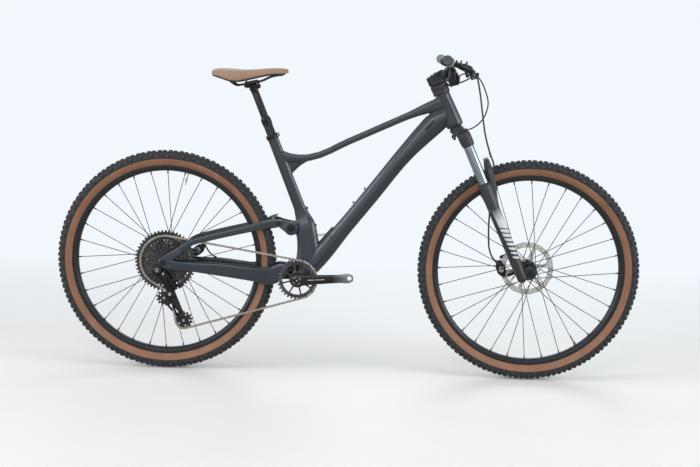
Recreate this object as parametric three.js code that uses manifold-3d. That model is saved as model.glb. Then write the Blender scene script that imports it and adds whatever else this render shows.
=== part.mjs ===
// Full-suspension trail bike, millimetres.
// +X points forward, +Z up, the drive side faces -Y, and the origin lies on the ground
// midway between the wheels.
import * as THREE from 'three';
import { mergeVertices } from 'three/addons/utils/BufferGeometryUtils.js';
import Module from 'manifold-3d';

const wasm = await Module();
wasm.setup();

// ---------------------------------------------------------------- driving dimensions
const WHEELBASE = 1215;
const TYRE_R = 370;
const BEAD_R = 312;
const TYRE_HALF_W = 29;
const RIM_IN_R = 301;
const FIT = 0.4; // running gap between neighbouring pieces

const BB = { x: -162, z: 323 }; // crank axis
const CRANK_LENGTH = 175;
const CRANK_TILT = 0.078; // the drive arm points forward, slightly up
const PIVOT = { x: -186, z: 364 }; // swingarm on frame
const FLEX = { x: -548, z: 416 }; // thin zone where the seatstays bend
const LINK = { x: -188, z: 490 }; // rocker on frame
const STAY_EYE = { x: -230, z: 509 }; // rocker on seatstays
const SHOCK_FOOT = { x: -132, z: 352 }; // lower shock eye
const SHOCK_HEAD = { x: -149, z: 512.5 }; // upper shock eye

const HEAD_ANGLE = 66;
const SEAT_ANGLE = 67.8;
const AXLE_OFFSET = 44; // front axle ahead of the steering axis
const LEG_OFFSET = 15; // stanchions ahead of the steering axis
const LEG_Y = 65;
const STANCHION_R = 16;
const BAR_HALF = 380;
const DROPOUT_Y_FRONT = 55;
const DROPOUT_Y_REAR = 74;
const PITCH = 12.7; // chain pitch
const CHAIN_COG = 42; // the sprocket that the chain runs on
const CHAINRING_TEETH = 32;
const COGS = [50, 42, 36, 32, 28, 25, 22, 19, 17, 15, 13, 11];
const COG_STEP = 3.65;
const COG_Y = -32;
const CHAIN_Y_FRONT = -52;
const CHAIN_Y_REAR = COG_Y - COG_STEP;
const GUIDE = { x: -611, z: 244, teeth: 12 };
const TENSION = { x: -544, z: 170, teeth: 14 };
const CAGE_PIVOT = { x: -588, z: 262 };

const REAR = { x: -WHEELBASE / 2, z: TYRE_R };
const FRONT = { x: WHEELBASE / 2, z: TYRE_R };
const pitchRadius = (teeth) => PITCH / (2 * Math.sin(Math.PI / teeth));

// ---------------------------------------------------------------- frames of reference
const bike = new THREE.Group();
const rad = THREE.MathUtils.degToRad;

// Steering frame: z runs up the steering axis, x is square to it and forward.
const steer = new THREE.Group();
const lean = rad(90 - HEAD_ANGLE);
steer.position.set(FRONT.x - AXLE_OFFSET * Math.cos(lean), 0, FRONT.z - AXLE_OFFSET * Math.sin(lean));
steer.rotation.y = -lean;

// Seat frame: z runs up the seat tube.
const seat = new THREE.Group();
seat.position.set(-200, 0, 650);
seat.rotation.y = -rad(90 - SEAT_ANGLE);

bike.add(steer, seat);
bike.updateMatrixWorld(true);

// ---------------------------------------------------------------- materials
const finish = (color, roughness, metalness) =>
  new THREE.MeshStandardMaterial({ color, roughness, metalness });
const FRAME_PAINT = () => finish(0x3d4854, 0.38, 0.35);
const FORK_PAINT = () => finish(0x4b4e54, 0.5, 0.1);
const BLACK_METAL = () => finish(0x17181a, 0.42, 0.6);
const BLACK_PLASTIC = () => finish(0x1c1d1f, 0.6, 0);
const STEEL = () => finish(0xb9bcc0, 0.28, 1);
const SILVER_BLUE = () => finish(0x9fb0ba, 0.22, 0.8);
const RUBBER = () => finish(0x2a2c2e, 0.85, 0);
const GRIP_RUBBER = () => finish(0xa49a8c, 0.85, 0);
const SADDLE_SKIN = () => finish(0xa98a68, 0.62, 0);
const CHAIN_METAL = () => finish(0xb5ad9a, 0.32, 0.9);

// ---------------------------------------------------------------- geometry helpers
function put(name, geometry, material, parent = bike) {
  const mesh = new THREE.Mesh(geometry, material);
  mesh.name = name;
  parent.add(mesh);
  return mesh;
}

function plain(geometry) {
  const bare = geometry.index ? geometry.toNonIndexed() : geometry.clone();
  for (const key of Object.keys(bare.attributes)) {
    if (key !== 'position') bare.deleteAttribute(key);
  }
  return mergeVertices(bare, 1e-3);
}

function solid(geometry) {
  const bare = plain(geometry);
  const body = new wasm.Manifold(
    new wasm.Mesh({
      numProp: 3,
      vertProperties: new Float32Array(bare.attributes.position.array),
      triVerts: new Uint32Array(bare.index.array),
    }),
  );
  return body;
}

function geometryOf(body) {
  const mesh = body.getMesh();
  const geometry = new THREE.BufferGeometry();
  geometry.setAttribute('position', new THREE.BufferAttribute(new Float32Array(mesh.vertProperties), 3));
  geometry.setIndex(new THREE.BufferAttribute(new Uint32Array(mesh.triVerts), 1));
  return geometry;
}

function join(...pieces) {
  return geometryOf(pieces.map(solid).reduce((sum, piece) => sum.add(piece)));
}

function cut(base, ...tools) {
  return geometryOf(tools.map(solid).reduce((rest, tool) => rest.subtract(tool), solid(base)));
}

// The radius of a faceted bore that clears a round of radius r.
const bore = (r, sides = 14) => (r + FIT) / Math.cos(Math.PI / sides);

// A cylinder along Y between two y values.
function barrel(x, z, r, y0, y1, sides = 14) {
  const geometry = new THREE.CylinderGeometry(r, r, Math.abs(y1 - y0), sides);
  return geometry.translate(x, (y0 + y1) / 2, z);
}

// A cylinder along Z between two z values.
function post(x, y, r, z0, z1, sides = 14, rTop = r) {
  const geometry = new THREE.CylinderGeometry(rTop, r, z1 - z0, sides);
  return geometry.rotateX(Math.PI / 2).translate(x, y, (z0 + z1) / 2);
}

function box(x0, x1, y0, y1, z0, z1) {
  const geometry = new THREE.BoxGeometry(x1 - x0, y1 - y0, z1 - z0);
  return geometry.translate((x0 + x1) / 2, (y0 + y1) / 2, (z0 + z1) / 2);
}

// A closed [radius, height] outline turned round Z.
function turned(outline, sides = 16) {
  const points = outline.map(([r, h]) => new THREE.Vector2(r, h));
  const closed = outline[0][0] > 0;
  if (closed) points.push(points[0].clone());
  return facingOut(new THREE.LatheGeometry(points, sides).rotateX(Math.PI / 2));
}

// The same outline turned round an axis along Y, with height measured along +Y.
function wheelTurned(outline, x, z, sides = 32) {
  return turned(outline, sides).rotateX(-Math.PI / 2).translate(x, 0, z);
}

function volumeOf(geometry) {
  const bare = geometry.index ? geometry.toNonIndexed() : geometry;
  const p = bare.attributes.position;
  const [a, b, c] = [new THREE.Vector3(), new THREE.Vector3(), new THREE.Vector3()];
  let sum = 0;
  for (let i = 0; i < p.count; i += 3) {
    a.fromBufferAttribute(p, i);
    b.fromBufferAttribute(p, i + 1);
    c.fromBufferAttribute(p, i + 2);
    sum += a.dot(b.cross(c)) / 6;
  }
  return sum;
}

function facingOut(geometry) {
  const bare = plain(geometry);
  if (volumeOf(bare) < 0) {
    const index = bare.index.array;
    for (let i = 0; i < index.length; i += 3) {
      [index[i], index[i + 1]] = [index[i + 1], index[i]];
    }
  }
  return bare;
}

// A skin through oval sections. Each station is [x, y, z, halfDepth, halfWidth];
// width lies along the `across` direction and depth is square to it and to the path.
function loft(stations, { sides = 8, across = [0, 1, 0], square = 1 } = {}) {
  const centres = stations.map(([x, y, z]) => new THREE.Vector3(x, y, z));
  const acrossAxis = new THREE.Vector3(...across);
  const vertices = [];
  const soften = (v) => Math.sign(v) * Math.abs(v) ** square;
  stations.forEach(([, , , depth, width], i) => {
    const before = centres[Math.max(i - 1, 0)];
    const after = centres[Math.min(i + 1, centres.length - 1)];
    const along = after.clone().sub(before).normalize();
    const side = acrossAxis.clone().addScaledVector(along, -acrossAxis.dot(along)).normalize();
    const up = along.clone().cross(side);
    for (let k = 0; k < sides; k += 1) {
      const angle = (2 * Math.PI * k) / sides;
      const point = centres[i].clone();
      point.addScaledVector(side, width * soften(Math.cos(angle)));
      point.addScaledVector(up, depth * soften(Math.sin(angle)));
      vertices.push(point);
    }
  });
  const index = [];
  const rings = stations.length;
  for (let i = 0; i < rings - 1; i += 1) {
    for (let k = 0; k < sides; k += 1) {
      const a = i * sides + k;
      const b = i * sides + ((k + 1) % sides);
      index.push(a, b, a + sides, b, b + sides, a + sides);
    }
  }
  for (let k = 1; k < sides - 1; k += 1) {
    index.push(0, k + 1, k);
    const last = (rings - 1) * sides;
    index.push(last, last + k, last + k + 1);
  }
  const geometry = new THREE.BufferGeometry().setFromPoints(vertices);
  geometry.setIndex(index);
  return facingOut(geometry);
}

// A round tube along a smooth curve through the given points.
function tube(points, radius, { steps = 24, sides = 8 } = {}) {
  const curve = new THREE.CatmullRomCurve3(points.map((p) => new THREE.Vector3(...p)));
  const circle = new THREE.Shape();
  circle.absarc(0, 0, radius, 0, 2 * Math.PI);
  const geometry = new THREE.ExtrudeGeometry(circle, {
    steps,
    extrudePath: curve,
    curveSegments: sides / 2,
    bevelEnabled: false,
  });
  return facingOut(geometry);
}

function arcPoints(centre, r, from, to, count) {
  return Array.from({ length: count + 1 }, (_, i) => {
    const angle = from + ((to - from) * i) / count;
    return new THREE.Vector2(centre.x + r * Math.cos(angle), centre.z + r * Math.sin(angle));
  });
}

const ringPoints = (centre, r, count) => arcPoints(centre, r, 0, 2 * Math.PI, count).slice(0, count);

// A flat ring with windows between its arms.
function spokedDisc({ centre, outerR, rimR, hubR, boreR, arms, armHalf, sides, y0, y1 }) {
  const disc = new THREE.Shape(ringPoints(centre, outerR, sides));
  const eye = new THREE.Path(ringPoints(centre, boreR, 14).reverse());
  const windows = Array.from({ length: arms }, (_, i) => {
    const from = (2 * Math.PI * i) / arms;
    const to = (2 * Math.PI * (i + 1)) / arms;
    const outer = arcPoints(centre, rimR, from + armHalf / rimR, to - armHalf / rimR, 4);
    const inner = arcPoints(centre, hubR, to - armHalf / hubR, from + armHalf / hubR, 2);
    return new THREE.Path([...outer, ...inner].reverse());
  });
  return plate(disc, [eye, ...windows], y0, y1);
}

// A flat plate in the XZ plane with holes, between two y values.
function plate(outline, holes, y0, y1, curveSegments = 6) {
  const shape = outline instanceof THREE.Shape ? outline : new THREE.Shape(outline);
  shape.holes.push(...holes);
  const depth = Math.abs(y1 - y0);
  const geometry = new THREE.ExtrudeGeometry(shape, { depth, bevelEnabled: false, curveSegments });
  return facingOut(geometry.rotateX(Math.PI / 2).translate(0, Math.max(y0, y1), 0));
}

const v2 = (x, z) => new THREE.Vector2(x, z);

// A plate outline: two round ends joined by their tangents.
function strap(a, ra, b, rb) {
  const angle = Math.atan2(b.z - a.z, b.x - a.x);
  const length = Math.hypot(b.x - a.x, b.z - a.z);
  const spread = Math.acos((ra - rb) / length);
  const shape = new THREE.Shape();
  shape.absarc(a.x, a.z, ra, angle + spread, angle + 2 * Math.PI - spread, false);
  shape.absarc(b.x, b.z, rb, angle - spread, angle + spread, false);
  shape.closePath();
  return shape;
}

const inWorld = (geometry, group) => facingOut(geometry.clone().applyMatrix4(group.matrixWorld));
const SIDES = { drive: -1, far: 1 };

// ---------------------------------------------------------------- front triangle
const HEAD_LOW = 543;
const HEAD_TOP = 654;
const SEAT_TUBE_TOP = 160;
const SEAT_TUBE_R = 17.5;
const LUG_R = 17;

function alongShock(r, from, to, sides = 16) {
  const angle = Math.atan2(SHOCK_HEAD.x - SHOCK_FOOT.x, SHOCK_HEAD.z - SHOCK_FOOT.z);
  const geometry = post(0, 0, r, from, to, sides);
  return facingOut(geometry.rotateY(angle).translate(SHOCK_FOOT.x, 0, SHOCK_FOOT.z));
}

function frontTriangle() {
  const headTube = inWorld(post(0, 0, 28, HEAD_LOW, HEAD_TOP, 18, 24), steer);
  const seatTube = inWorld(post(0, 0, SEAT_TUBE_R, -105, SEAT_TUBE_TOP), seat);
  const topTube = loft([
    [-222, 0, 724, 15, 17],
    [-172, 0, 726, 13, 18],
    [-131, 0, 729, 11.5, 19],
    [0, 0, 787, 11, 21],
    [120, 0, 843, 11.5, 21],
    [205, 0, 882, 13, 21],
    [262, 0, 906, 19, 21],
    [306, 0, 922, 24, 20],
  ], { sides: 10, square: 0.8 });
  const gusset = loft([
    [-206, 0, 704, 26, 9],
    [-170, 0, 716, 14, 9],
    [-128, 0, 730, 8, 9],
  ], { sides: 10 });
  const downTube = loft([
    [328, 0, 886, 24, 22],
    [286, 0, 858, 35, 25],
    [246, 0, 818, 33, 27],
    [195, 0, 762, 28, 29],
    [73, 0, 605, 26.5, 31],
    [-22, 0, 484, 27, 33],
    [-84, 0, 406, 31, 36],
    [-128, 0, 352, 27, 38],
    [-156, 0, 322, 20, 38],
  ], { sides: 10, square: 0.8 });
  const housing = loft([
    [-168, 0, 572, 17, 17],
    [-152, 0, 530, 25, 20],
    [-143, 0, 500, 33, 26],
    [-134, 0, 455, 35, 29],
    [-130, 0, 405, 38, 31],
    [-136, 0, 362, 38, 33],
    [-156, 0, 326, 20, 34],
  ], { sides: 10, square: 0.7 });
  const bottomShell = barrel(BB.x, BB.z, 24.5, -45, 45, 20);
  const pivotLug = join(barrel(PIVOT.x, PIVOT.z, LUG_R, -28, 28), box(-182, -140, -28, 28, 350, 378));
  const linkLugs = [-1, 1].map((side) => join(
    barrel(LINK.x, LINK.z, 19, side * 11.5, side * 21, 16),
    loft([[-190, side * 16.2, 490, 16, 4.7], [-166, side * 16.2, 492, 24, 4.7], [-150, side * 16.2, 494, 26, 4.7]]),
  ));
  const outside = join(headTube, seatTube, topTube, gusset, downTube, housing, bottomShell, pivotLug, ...linkLugs);

  const bottleBosses = [v2(-108.6, 501.5), v2(-138.3, 558.9)];
  const bossPads = bottleBosses.map(({ x, y }) => barrel(x, y, 4, -3, 3, 8));
  return cut(
    join(outside, ...bossPads),
    inWorld(post(0, 0, 20.2, HEAD_LOW - 5, HEAD_TOP + 5), steer),
    inWorld(post(0, 0, bore(25), HEAD_LOW - 5, HEAD_LOW + 9), steer),
    inWorld(post(0, 0, bore(20.6), HEAD_TOP - 9, HEAD_TOP + 5), steer),
    inWorld(post(0, 0, bore(15.4), -30, SEAT_TUBE_TOP + 5), seat),
    barrel(BB.x, BB.z, bore(20.6, 18), -50, 50, 18),
    barrel(PIVOT.x, PIVOT.z, bore(7), -40, 40),
    barrel(LINK.x, LINK.z, bore(13.5), -40, 40),
    alongShock(25, 10, 112, 16),
    alongShock(14, -13, 20, 12),
    box(-225, -114, -11.4, 11.4, 452, 530),
  );
}

put('front_triangle', frontTriangle(), FRAME_PAINT());

put('seat_clamp', cut(
  join(post(0, 0, 21, SEAT_TUBE_TOP - 12, SEAT_TUBE_TOP + 3, 16), box(14, 25, -7, 7, SEAT_TUBE_TOP - 11, SEAT_TUBE_TOP + 2)),
  post(0, 0, bore(SEAT_TUBE_R), SEAT_TUBE_TOP - 20, SEAT_TUBE_TOP + 10),
  box(10, 30, -0.8, 0.8, SEAT_TUBE_TOP - 20, SEAT_TUBE_TOP + 10),
), BLACK_METAL(), seat);

put('bottom_bracket', wheelTurned([
  [15, -48], [23, -48], [23, -45.4], [20.6, -45.4], [20.6, 45.4], [23, 45.4], [23, 48], [15, 48],
], BB.x, BB.z, 18), BLACK_METAL());

put('headset_bearing_lower', turned([[19.6, 544.6], [25, 544.6], [25, 551.6], [19.6, 551.6]], 14), STEEL(), steer);
put('headset_bearing_upper', turned([[15, 645.6], [20.6, 645.6], [20.6, 652.6], [15, 652.6]], 14), STEEL(), steer);

put('pivot_axle', join(
  barrel(PIVOT.x, PIVOT.z, 7, -43, 43, 14),
  barrel(PIVOT.x, PIVOT.z, 10, -44.8, -41.6, 16),
), BLACK_METAL());

// ---------------------------------------------------------------- dropper seatpost and saddle
const COLLAR_TOP = 224;
const POST_HEAD = 318;

put('seatpost_lower', turned([
  [0, -26], [15.3, -26], [15.3, 198], [16.8, 200], [16.8, 219], [14, COLLAR_TOP], [12.9, COLLAR_TOP], [12.9, -20],
  [0, -20],
], 14), BLACK_METAL(), seat);

put('seatpost_upper', cut(
  join(
    post(0, 0, 12.5, 92, POST_HEAD),
    facingOut(box(-29, 29, -27, 27, -7, 5).rotateY(-seat.rotation.y).translate(0, 0, POST_HEAD + 6)),
  ),
  facingOut(barrel(0, 9, 4.1, -40, 40, 8).rotateZ(Math.PI / 2).translate(0, -22, 0)
    .rotateY(-seat.rotation.y - rad(5)).translate(0, 0, POST_HEAD + 6)),
  facingOut(barrel(0, 9, 4.1, -40, 40, 8).rotateZ(Math.PI / 2).translate(0, 22, 0)
    .rotateY(-seat.rotation.y - rad(5)).translate(0, 0, POST_HEAD + 6)),
), BLACK_METAL(), seat);

put('saddle_rails', tube([
  [-402, -22, 969], [-384, -22, 962.5], [-352, -22, 962.5], [-298, -22, 967.5], [-266, -19, 984], [-240, -12, 992],
  [-231, 0, 994], [-240, 12, 992], [-266, 19, 984], [-298, 22, 967.5], [-352, 22, 962.5], [-384, 22, 962.5],
  [-402, 22, 969],
], 3.5, { steps: 36, sides: 6 }), BLACK_METAL());

put('saddle', loft([
  [-461, 0, 1004, 3, 44],
  [-452, 0, 1001, 11, 62],
  [-424, 0, 996, 16, 70],
  [-392, 0, 994, 17, 69],
  [-350, 0, 996, 15, 54],
  [-310, 0, 1003, 12, 36],
  [-270, 0, 1009, 10, 24],
  [-235, 0, 1011, 9, 19],
  [-214, 0, 1010, 7, 15],
  [-207, 0, 1009, 3, 9],
], { sides: 16 }), SADDLE_SKIN());

// ---------------------------------------------------------------- rear suspension
put('shock_body', join(
  barrel(SHOCK_FOOT.x, SHOCK_FOOT.z, 9, -8, 8, 16),
  cut(alongShock(20, 14, 96, 14), alongShock(7.6, 22, 102, 12)),
  alongShock(7, 0, 21, 12),
), BLACK_METAL());

put('shock_shaft', join(
  barrel(SHOCK_HEAD.x, SHOCK_HEAD.z, 8, -5, 5, 14),
  alongShock(6.8, 74, 160, 12),
), STEEL());

function rockerLink() {
  const cheeks = [-1, 1].map((side) => plate(strap(LINK, 21, STAY_EYE, 11.5), [], side * 22, side * 28.4));
  const inner = [-1, 1].map((side) => plate(strap(LINK, 13, SHOCK_HEAD, 9), [], side * 7.2, side * 10.6));
  return join(...cheeks, ...inner, barrel(LINK.x, LINK.z, 13.5, -31, 31, 14));
}

put('rocker_link', rockerLink(), FRAME_PAINT());

function chainstay(side) {
  const at = (x, y, z, depth, width) => [x, side * y, z, depth, width];
  return loft([
    at(-198, 36, 356, 14, 6),
    at(-222, 37, 346, 26, 7),
    at(-250, 42, 332, 30, 7.5),
    at(-300, 51, 336, 25, 7.5),
    at(-440, 65, 352, 20, 6.5),
    at(-531, 69.5, 358, 15, 6.5),
    at(-572, 78.2, 362, 15, 5),
    at(-604, 79.5, 366, 15, 4.4),
  ], { square: 0.7 });
}

function dropoutRiser(side) {
  const at = (x, y, z, depth, width) => [x, side * y, z, depth, width];
  return loft([
    at(-612, 79.5, 372, 13, 4.4),
    at(-590, 79, 388, 13, 4.5),
    at(-566, 74, 404, 13, 5),
    at(FLEX.x - 1.8, 68.5, FLEX.z, 11, 5.5),
  ], { square: 0.7 });
}

function swingarm() {
  const sides = [-1, 1].flatMap((side) => [
    chainstay(side),
    dropoutRiser(side),
    barrel(PIVOT.x, PIVOT.z, 16, side * 29, side * 41, 14),
    barrel(REAR.x, REAR.z, 17, side * (DROPOUT_Y_REAR + FIT), side * 84, 14),
  ]);
  const yoke = loft([
    [-224, -36, 336, 12, 8], [-226, -16, 334, 12, 8], [-226, 16, 334, 12, 8], [-224, 36, 336, 12, 8],
  ], { across: [1, 0, 0], square: 0.8 });
  return cut(
    join(...sides, yoke),
    barrel(PIVOT.x, PIVOT.z, bore(7), -60, 60),
    barrel(PIVOT.x, PIVOT.z, bore(10), -60, -41.2),
    barrel(REAR.x, REAR.z, bore(6), -95, 95),
  );
}

put('swingarm', swingarm(), FRAME_PAINT());

function seatstay(side) {
  const at = (x, y, z, depth, width) => [x, side * y, z, depth, width];
  return loft([
    at(FLEX.x + 0.6, 68.5, FLEX.z + 0.7, 11, 5.5),
    at(-522, 67, 436, 10, 5.5),
    at(-470, 63, 453, 10.5, 5.5),
    at(-402, 57, 471, 11, 5.5),
    at(-320, 45, 491, 12.5, 5),
    at(-268, 35, 504, 15, 4),
    at(STAY_EYE.x, 32.6, STAY_EYE.z, 13, 3.6),
    at(STAY_EYE.x + 11, 32.6, STAY_EYE.z + 1, 8, 3.6),
  ], { square: 0.7 });
}

put('seatstays', join(
  seatstay(-1),
  seatstay(1),
  barrel(-254, 515, 6, -34, 34, 12),
), FRAME_PAINT());

put('rocker_cover', loft([
  [-266, 0, 523, 1.6, 24], [-252, 0, 528.5, 1.8, 26], [-233, 0, 534, 1.6, 24],
], { square: 0.5 }), BLACK_PLASTIC());

put('rear_axle', join(
  barrel(REAR.x, REAR.z, 6, -83, 86, 14),
  barrel(REAR.x, REAR.z, 9, 84.4, 89, 14),
), BLACK_METAL());

// ---------------------------------------------------------------- wheels
const WHEEL_SIDES = 30;

function tyre(x) {
  const outer = [[BEAD_R, 13.4], [322, 14], [337, 27.5], [353, TYRE_HALF_W], [366, 17]];
  const inner = [[360, 12], [338, 22], [BEAD_R, 9.5]];
  const flip = (points) => points.map(([r, h]) => [r, -h]).reverse();
  return wheelTurned([...outer, [TYRE_R, 0], ...flip(outer), ...flip(inner), ...inner], x, TYRE_R, WHEEL_SIDES);
}

function rim(x) {
  const half = [[RIM_IN_R, 7], [308, 16], [321, 17.4], [321, 14.3], [310.5, 14.3]];
  const mirrored = half.map(([r, h]) => [r, -h]).reverse();
  return wheelTurned([...half, ...mirrored], x, TYRE_R, WHEEL_SIDES);
}

const SPOKE_R = 1;
const SPOKE_END_R = RIM_IN_R * Math.cos(Math.PI / WHEEL_SIDES) - 0.7;

// Thirty-two crossed spokes from the hub flanges to the rim.
function spokes(x, flangeR, flangeY) {
  const count = 32;
  const list = [];
  for (let i = 0; i < count; i += 1) {
    const side = i % 2 ? 1 : -1;
    const lead = Math.floor(i / 2) % 2 ? 1 : -1;
    const rimAngle = (2 * Math.PI * i) / count;
    const hubAngle = rimAngle + lead * rad(72);
    const footY = flangeY[side > 0 ? 1 : 0] + lead * 1.6;
    const foot = new THREE.Vector3(
      x + flangeR * Math.cos(hubAngle), footY, TYRE_R + flangeR * Math.sin(hubAngle),
    );
    const head = new THREE.Vector3(
      x + SPOKE_END_R * Math.cos(rimAngle), side * 3, TYRE_R + SPOKE_END_R * Math.sin(rimAngle),
    );
    const along = head.clone().sub(foot);
    const rod = new THREE.CylinderGeometry(SPOKE_R, SPOKE_R, along.length(), 3);
    const turn = new THREE.Quaternion().setFromUnitVectors(new THREE.Vector3(0, 1, 0), along.clone().normalize());
    rod.applyQuaternion(turn);
    const middle = foot.add(head).multiplyScalar(0.5);
    list.push(rod.translate(middle.x, middle.y, middle.z));
  }
  return list;
}

put('front_hub', join(
  wheelTurned([
    [8, -54.6], [10, -54.6], [10, -36], [28, -30], [28, -25], [15, -24],
    [15, 22], [28, 23], [28, 28], [17, 30], [17, 44.6], [10, 46], [10, 54.6], [8, 54.6],
  ], FRONT.x, FRONT.z, 12),
  ...spokes(FRONT.x, 25, [-27.5, 25.5]),
), BLACK_METAL());
put('front_rim', rim(FRONT.x), BLACK_METAL());
put('front_tyre', tyre(FRONT.x), RUBBER());

const BOX_END = DROPOUT_Y_REAR - FIT;
put('rear_hub', join(
  wheelTurned([
    [6.6, -29.4], [17, -29.4], [17, -24], [29, -23], [29, -18], [15, -17],
    [15, 30], [28, 32], [28, 37], [17, 39], [17, 59.6], [10, 61], [10, BOX_END], [6.6, BOX_END],
  ], REAR.x, REAR.z, 12),
  ...spokes(REAR.x, 25.5, [-20.5, 34.5]),
), BLACK_METAL());
put('rear_rim', rim(REAR.x), BLACK_METAL());
put('rear_tyre', tyre(REAR.x), RUBBER());

// A brake disc: a ring carried by six arms.
const rotor = (centre, radius, y) => spokedDisc({
  centre, outerR: radius, rimR: radius - 15, hubR: 27, boreR: 17.5, arms: 6, armHalf: 5, sides: 30, y0: y, y1: y + 1.8,
});

put('front_rotor', rotor(FRONT, 90, 41.5), STEEL());
put('rear_rotor', rotor(REAR, 80, 56), STEEL());

// ---------------------------------------------------------------- drivetrain
// The sprockets as a stepped cone, with the freehub body inside it.
function cassette() {
  const outline = [];
  COGS.forEach((teeth, i) => {
    const y = COG_Y - i * COG_STEP;
    const underChain = teeth === CHAIN_COG;
    const radius = pitchRadius(teeth) + (underChain ? -4.4 : 1.5);
    const inner = i === 0 ? y + 0.8 : y + COG_STEP - 0.8;
    const outer = underChain ? y - 2.9 : y - 0.8;
    outline.push([radius, inner], [radius, outer]);
  });
  outline.push([11, -BOX_END], [6.6, -BOX_END], [6.6, -29.9], [15.5, -29.9], [15.5, COG_Y + 0.8]);
  return wheelTurned(outline, REAR.x, REAR.z, 14);
}

put('cassette', cassette(), BLACK_METAL());

put('chainring', spokedDisc({
  centre: BB,
  outerR: pitchRadius(CHAINRING_TEETH) - 4.5,
  rimR: 51,
  hubR: 26,
  boreR: 15.2,
  arms: 8,
  armHalf: 3,
  sides: 32,
  y0: CHAIN_Y_FRONT - 1.7,
  y1: CHAIN_Y_FRONT + 1.7,
}), BLACK_METAL());

function crankArm(side) {
  const tilt = side < 0 ? CRANK_TILT : CRANK_TILT + Math.PI;
  const at = (along, y, depth, width) => [
    BB.x + along * Math.cos(tilt), side * y, BB.z + along * Math.sin(tilt), depth, width,
  ];
  const eye = at(CRANK_LENGTH, 79, 0, 0);
  const blade = loft([
    at(0, 69, 18, 8), at(28, 70, 17, 8), at(80, 74, 14, 7), at(140, 78, 12.5, 6), at(CRANK_LENGTH, 79, 13, 6),
  ], { square: 0.6 });
  const eyeBoss = barrel(eye[0], eye[2], 15, side * 73, side * 85, 16);
  const hub = barrel(BB.x, BB.z, 21, side * (side < 0 ? 56 : 60), side * 78, 18);
  const hole = barrel(eye[0], eye[2], 7.2, side * 60, side * 90, 14);
  return { body: join(blade, eyeBoss, hub), hole };
}

const driveArm = crankArm(-1);
put('crank_arm_drive', cut(
  join(driveArm.body, barrel(BB.x, BB.z, 14.5, -57, 59, 20)),
  driveArm.hole,
), BLACK_METAL());
const farArm = crankArm(1);
put('crank_arm_far', cut(farArm.body, farArm.hole, barrel(BB.x, BB.z, bore(14.5), 50, 59.6)), BLACK_METAL());

// The chain's path: tangents and arcs round each sprocket. Turn is +1 where the chain runs
// clockwise seen from the drive side, and -1 where it doubles back over the guide pulley.
function chainPath() {
  const wheels = [
    { ...BB, r: pitchRadius(CHAINRING_TEETH), turn: 1, y: CHAIN_Y_FRONT, steps: 10 },
    { ...TENSION, r: pitchRadius(TENSION.teeth), turn: 1, y: CHAIN_Y_REAR, steps: 7 },
    { ...GUIDE, r: pitchRadius(GUIDE.teeth), turn: -1, y: CHAIN_Y_REAR, steps: 6 },
    { ...REAR, r: pitchRadius(CHAIN_COG), turn: 1, y: CHAIN_Y_REAR, steps: 12 },
  ];
  const heading = wheels.map((from, i) => {
    const to = wheels[(i + 1) % wheels.length];
    const distance = Math.hypot(to.x - from.x, to.z - from.z);
    const slip = Math.asin((from.turn * from.r - to.turn * to.r) / distance);
    return Math.atan2(to.z - from.z, to.x - from.x) - slip;
  });
  const points = [];
  wheels.forEach((wheel, i) => {
    const arriving = heading[(i + wheels.length - 1) % wheels.length];
    let swing = heading[i] - arriving;
    while (wheel.turn * swing > 0) swing -= wheel.turn * 2 * Math.PI;
    for (let k = 0; k <= wheel.steps; k += 1) {
      const angle = arriving + (swing * k) / wheel.steps;
      const normal = [-Math.sin(angle), Math.cos(angle)];
      const reach = wheel.turn * wheel.r;
      points.push({
        x: wheel.x + reach * normal[0], y: wheel.y, z: wheel.z + reach * normal[1], out: normal,
      });
    }
  });
  return points;
}

function chainBand(halfThick, halfWide) {
  const path = chainPath();
  const vertices = [];
  path.forEach(({ x, y, z, out }) => {
    [[-1, -1], [1, -1], [1, 1], [-1, 1]].forEach(([a, b]) => {
      vertices.push(new THREE.Vector3(x + a * halfThick * out[0], y + b * halfWide, z + a * halfThick * out[1]));
    });
  });
  const index = [];
  path.forEach((_, i) => {
    const here = i * 4;
    const next = ((i + 1) % path.length) * 4;
    for (let k = 0; k < 4; k += 1) {
      const l = (k + 1) % 4;
      index.push(here + k, next + k, here + l, here + l, next + k, next + l);
    }
  });
  const geometry = new THREE.BufferGeometry().setFromPoints(vertices);
  geometry.setIndex(index);
  return facingOut(geometry);
}

put('chain', chainBand(3.8, 2.4), CHAIN_METAL());

function pulley({ x, z, teeth }) {
  const r = pitchRadius(teeth) - 4.4;
  return wheelTurned([
    [3.4, CHAIN_Y_REAR - 2], [r, CHAIN_Y_REAR - 2], [r, CHAIN_Y_REAR + 2], [3.4, CHAIN_Y_REAR + 2],
  ], x, z, 14);
}

put('guide_pulley', pulley(GUIDE), BLACK_PLASTIC());
put('tension_pulley', pulley(TENSION), BLACK_PLASTIC());

function derailleurCage() {
  const y = CHAIN_Y_REAR;
  const lower = plate(strap(GUIDE, 12, TENSION, 12), [], y + 3.4, y + 5);
  const outerLower = plate(strap(CAGE_PIVOT, 15, TENSION, 12), [], y - 5, y - 3.4);
  const outerUpper = plate(strap(CAGE_PIVOT, 15, GUIDE, 11), [], y - 5, y - 3.4);
  const pins = [GUIDE, TENSION].map(({ x, z }) => barrel(x, z, 3, y - 5, y + 5, 10));
  return join(lower, outerLower, outerUpper, ...pins);
}

put('derailleur_cage', derailleurCage(), BLACK_METAL());

put('derailleur_body', join(
  barrel(CAGE_PIVOT.x, CAGE_PIVOT.z, 17, CHAIN_Y_REAR - 5.4, -62, 20),
  loft([
    [-586, -58, 264, 12, 8], [-592, -70, 286, 13, 8], [-604, -84, 312, 14, 8], [-622, -93, 334, 13, 6],
    [-630, -94, 352, 12, 5],
  ], { square: 0.7 }),
  barrel(-626, 347, 15, -84.6, -98, 20),
), BLACK_METAL());

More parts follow.
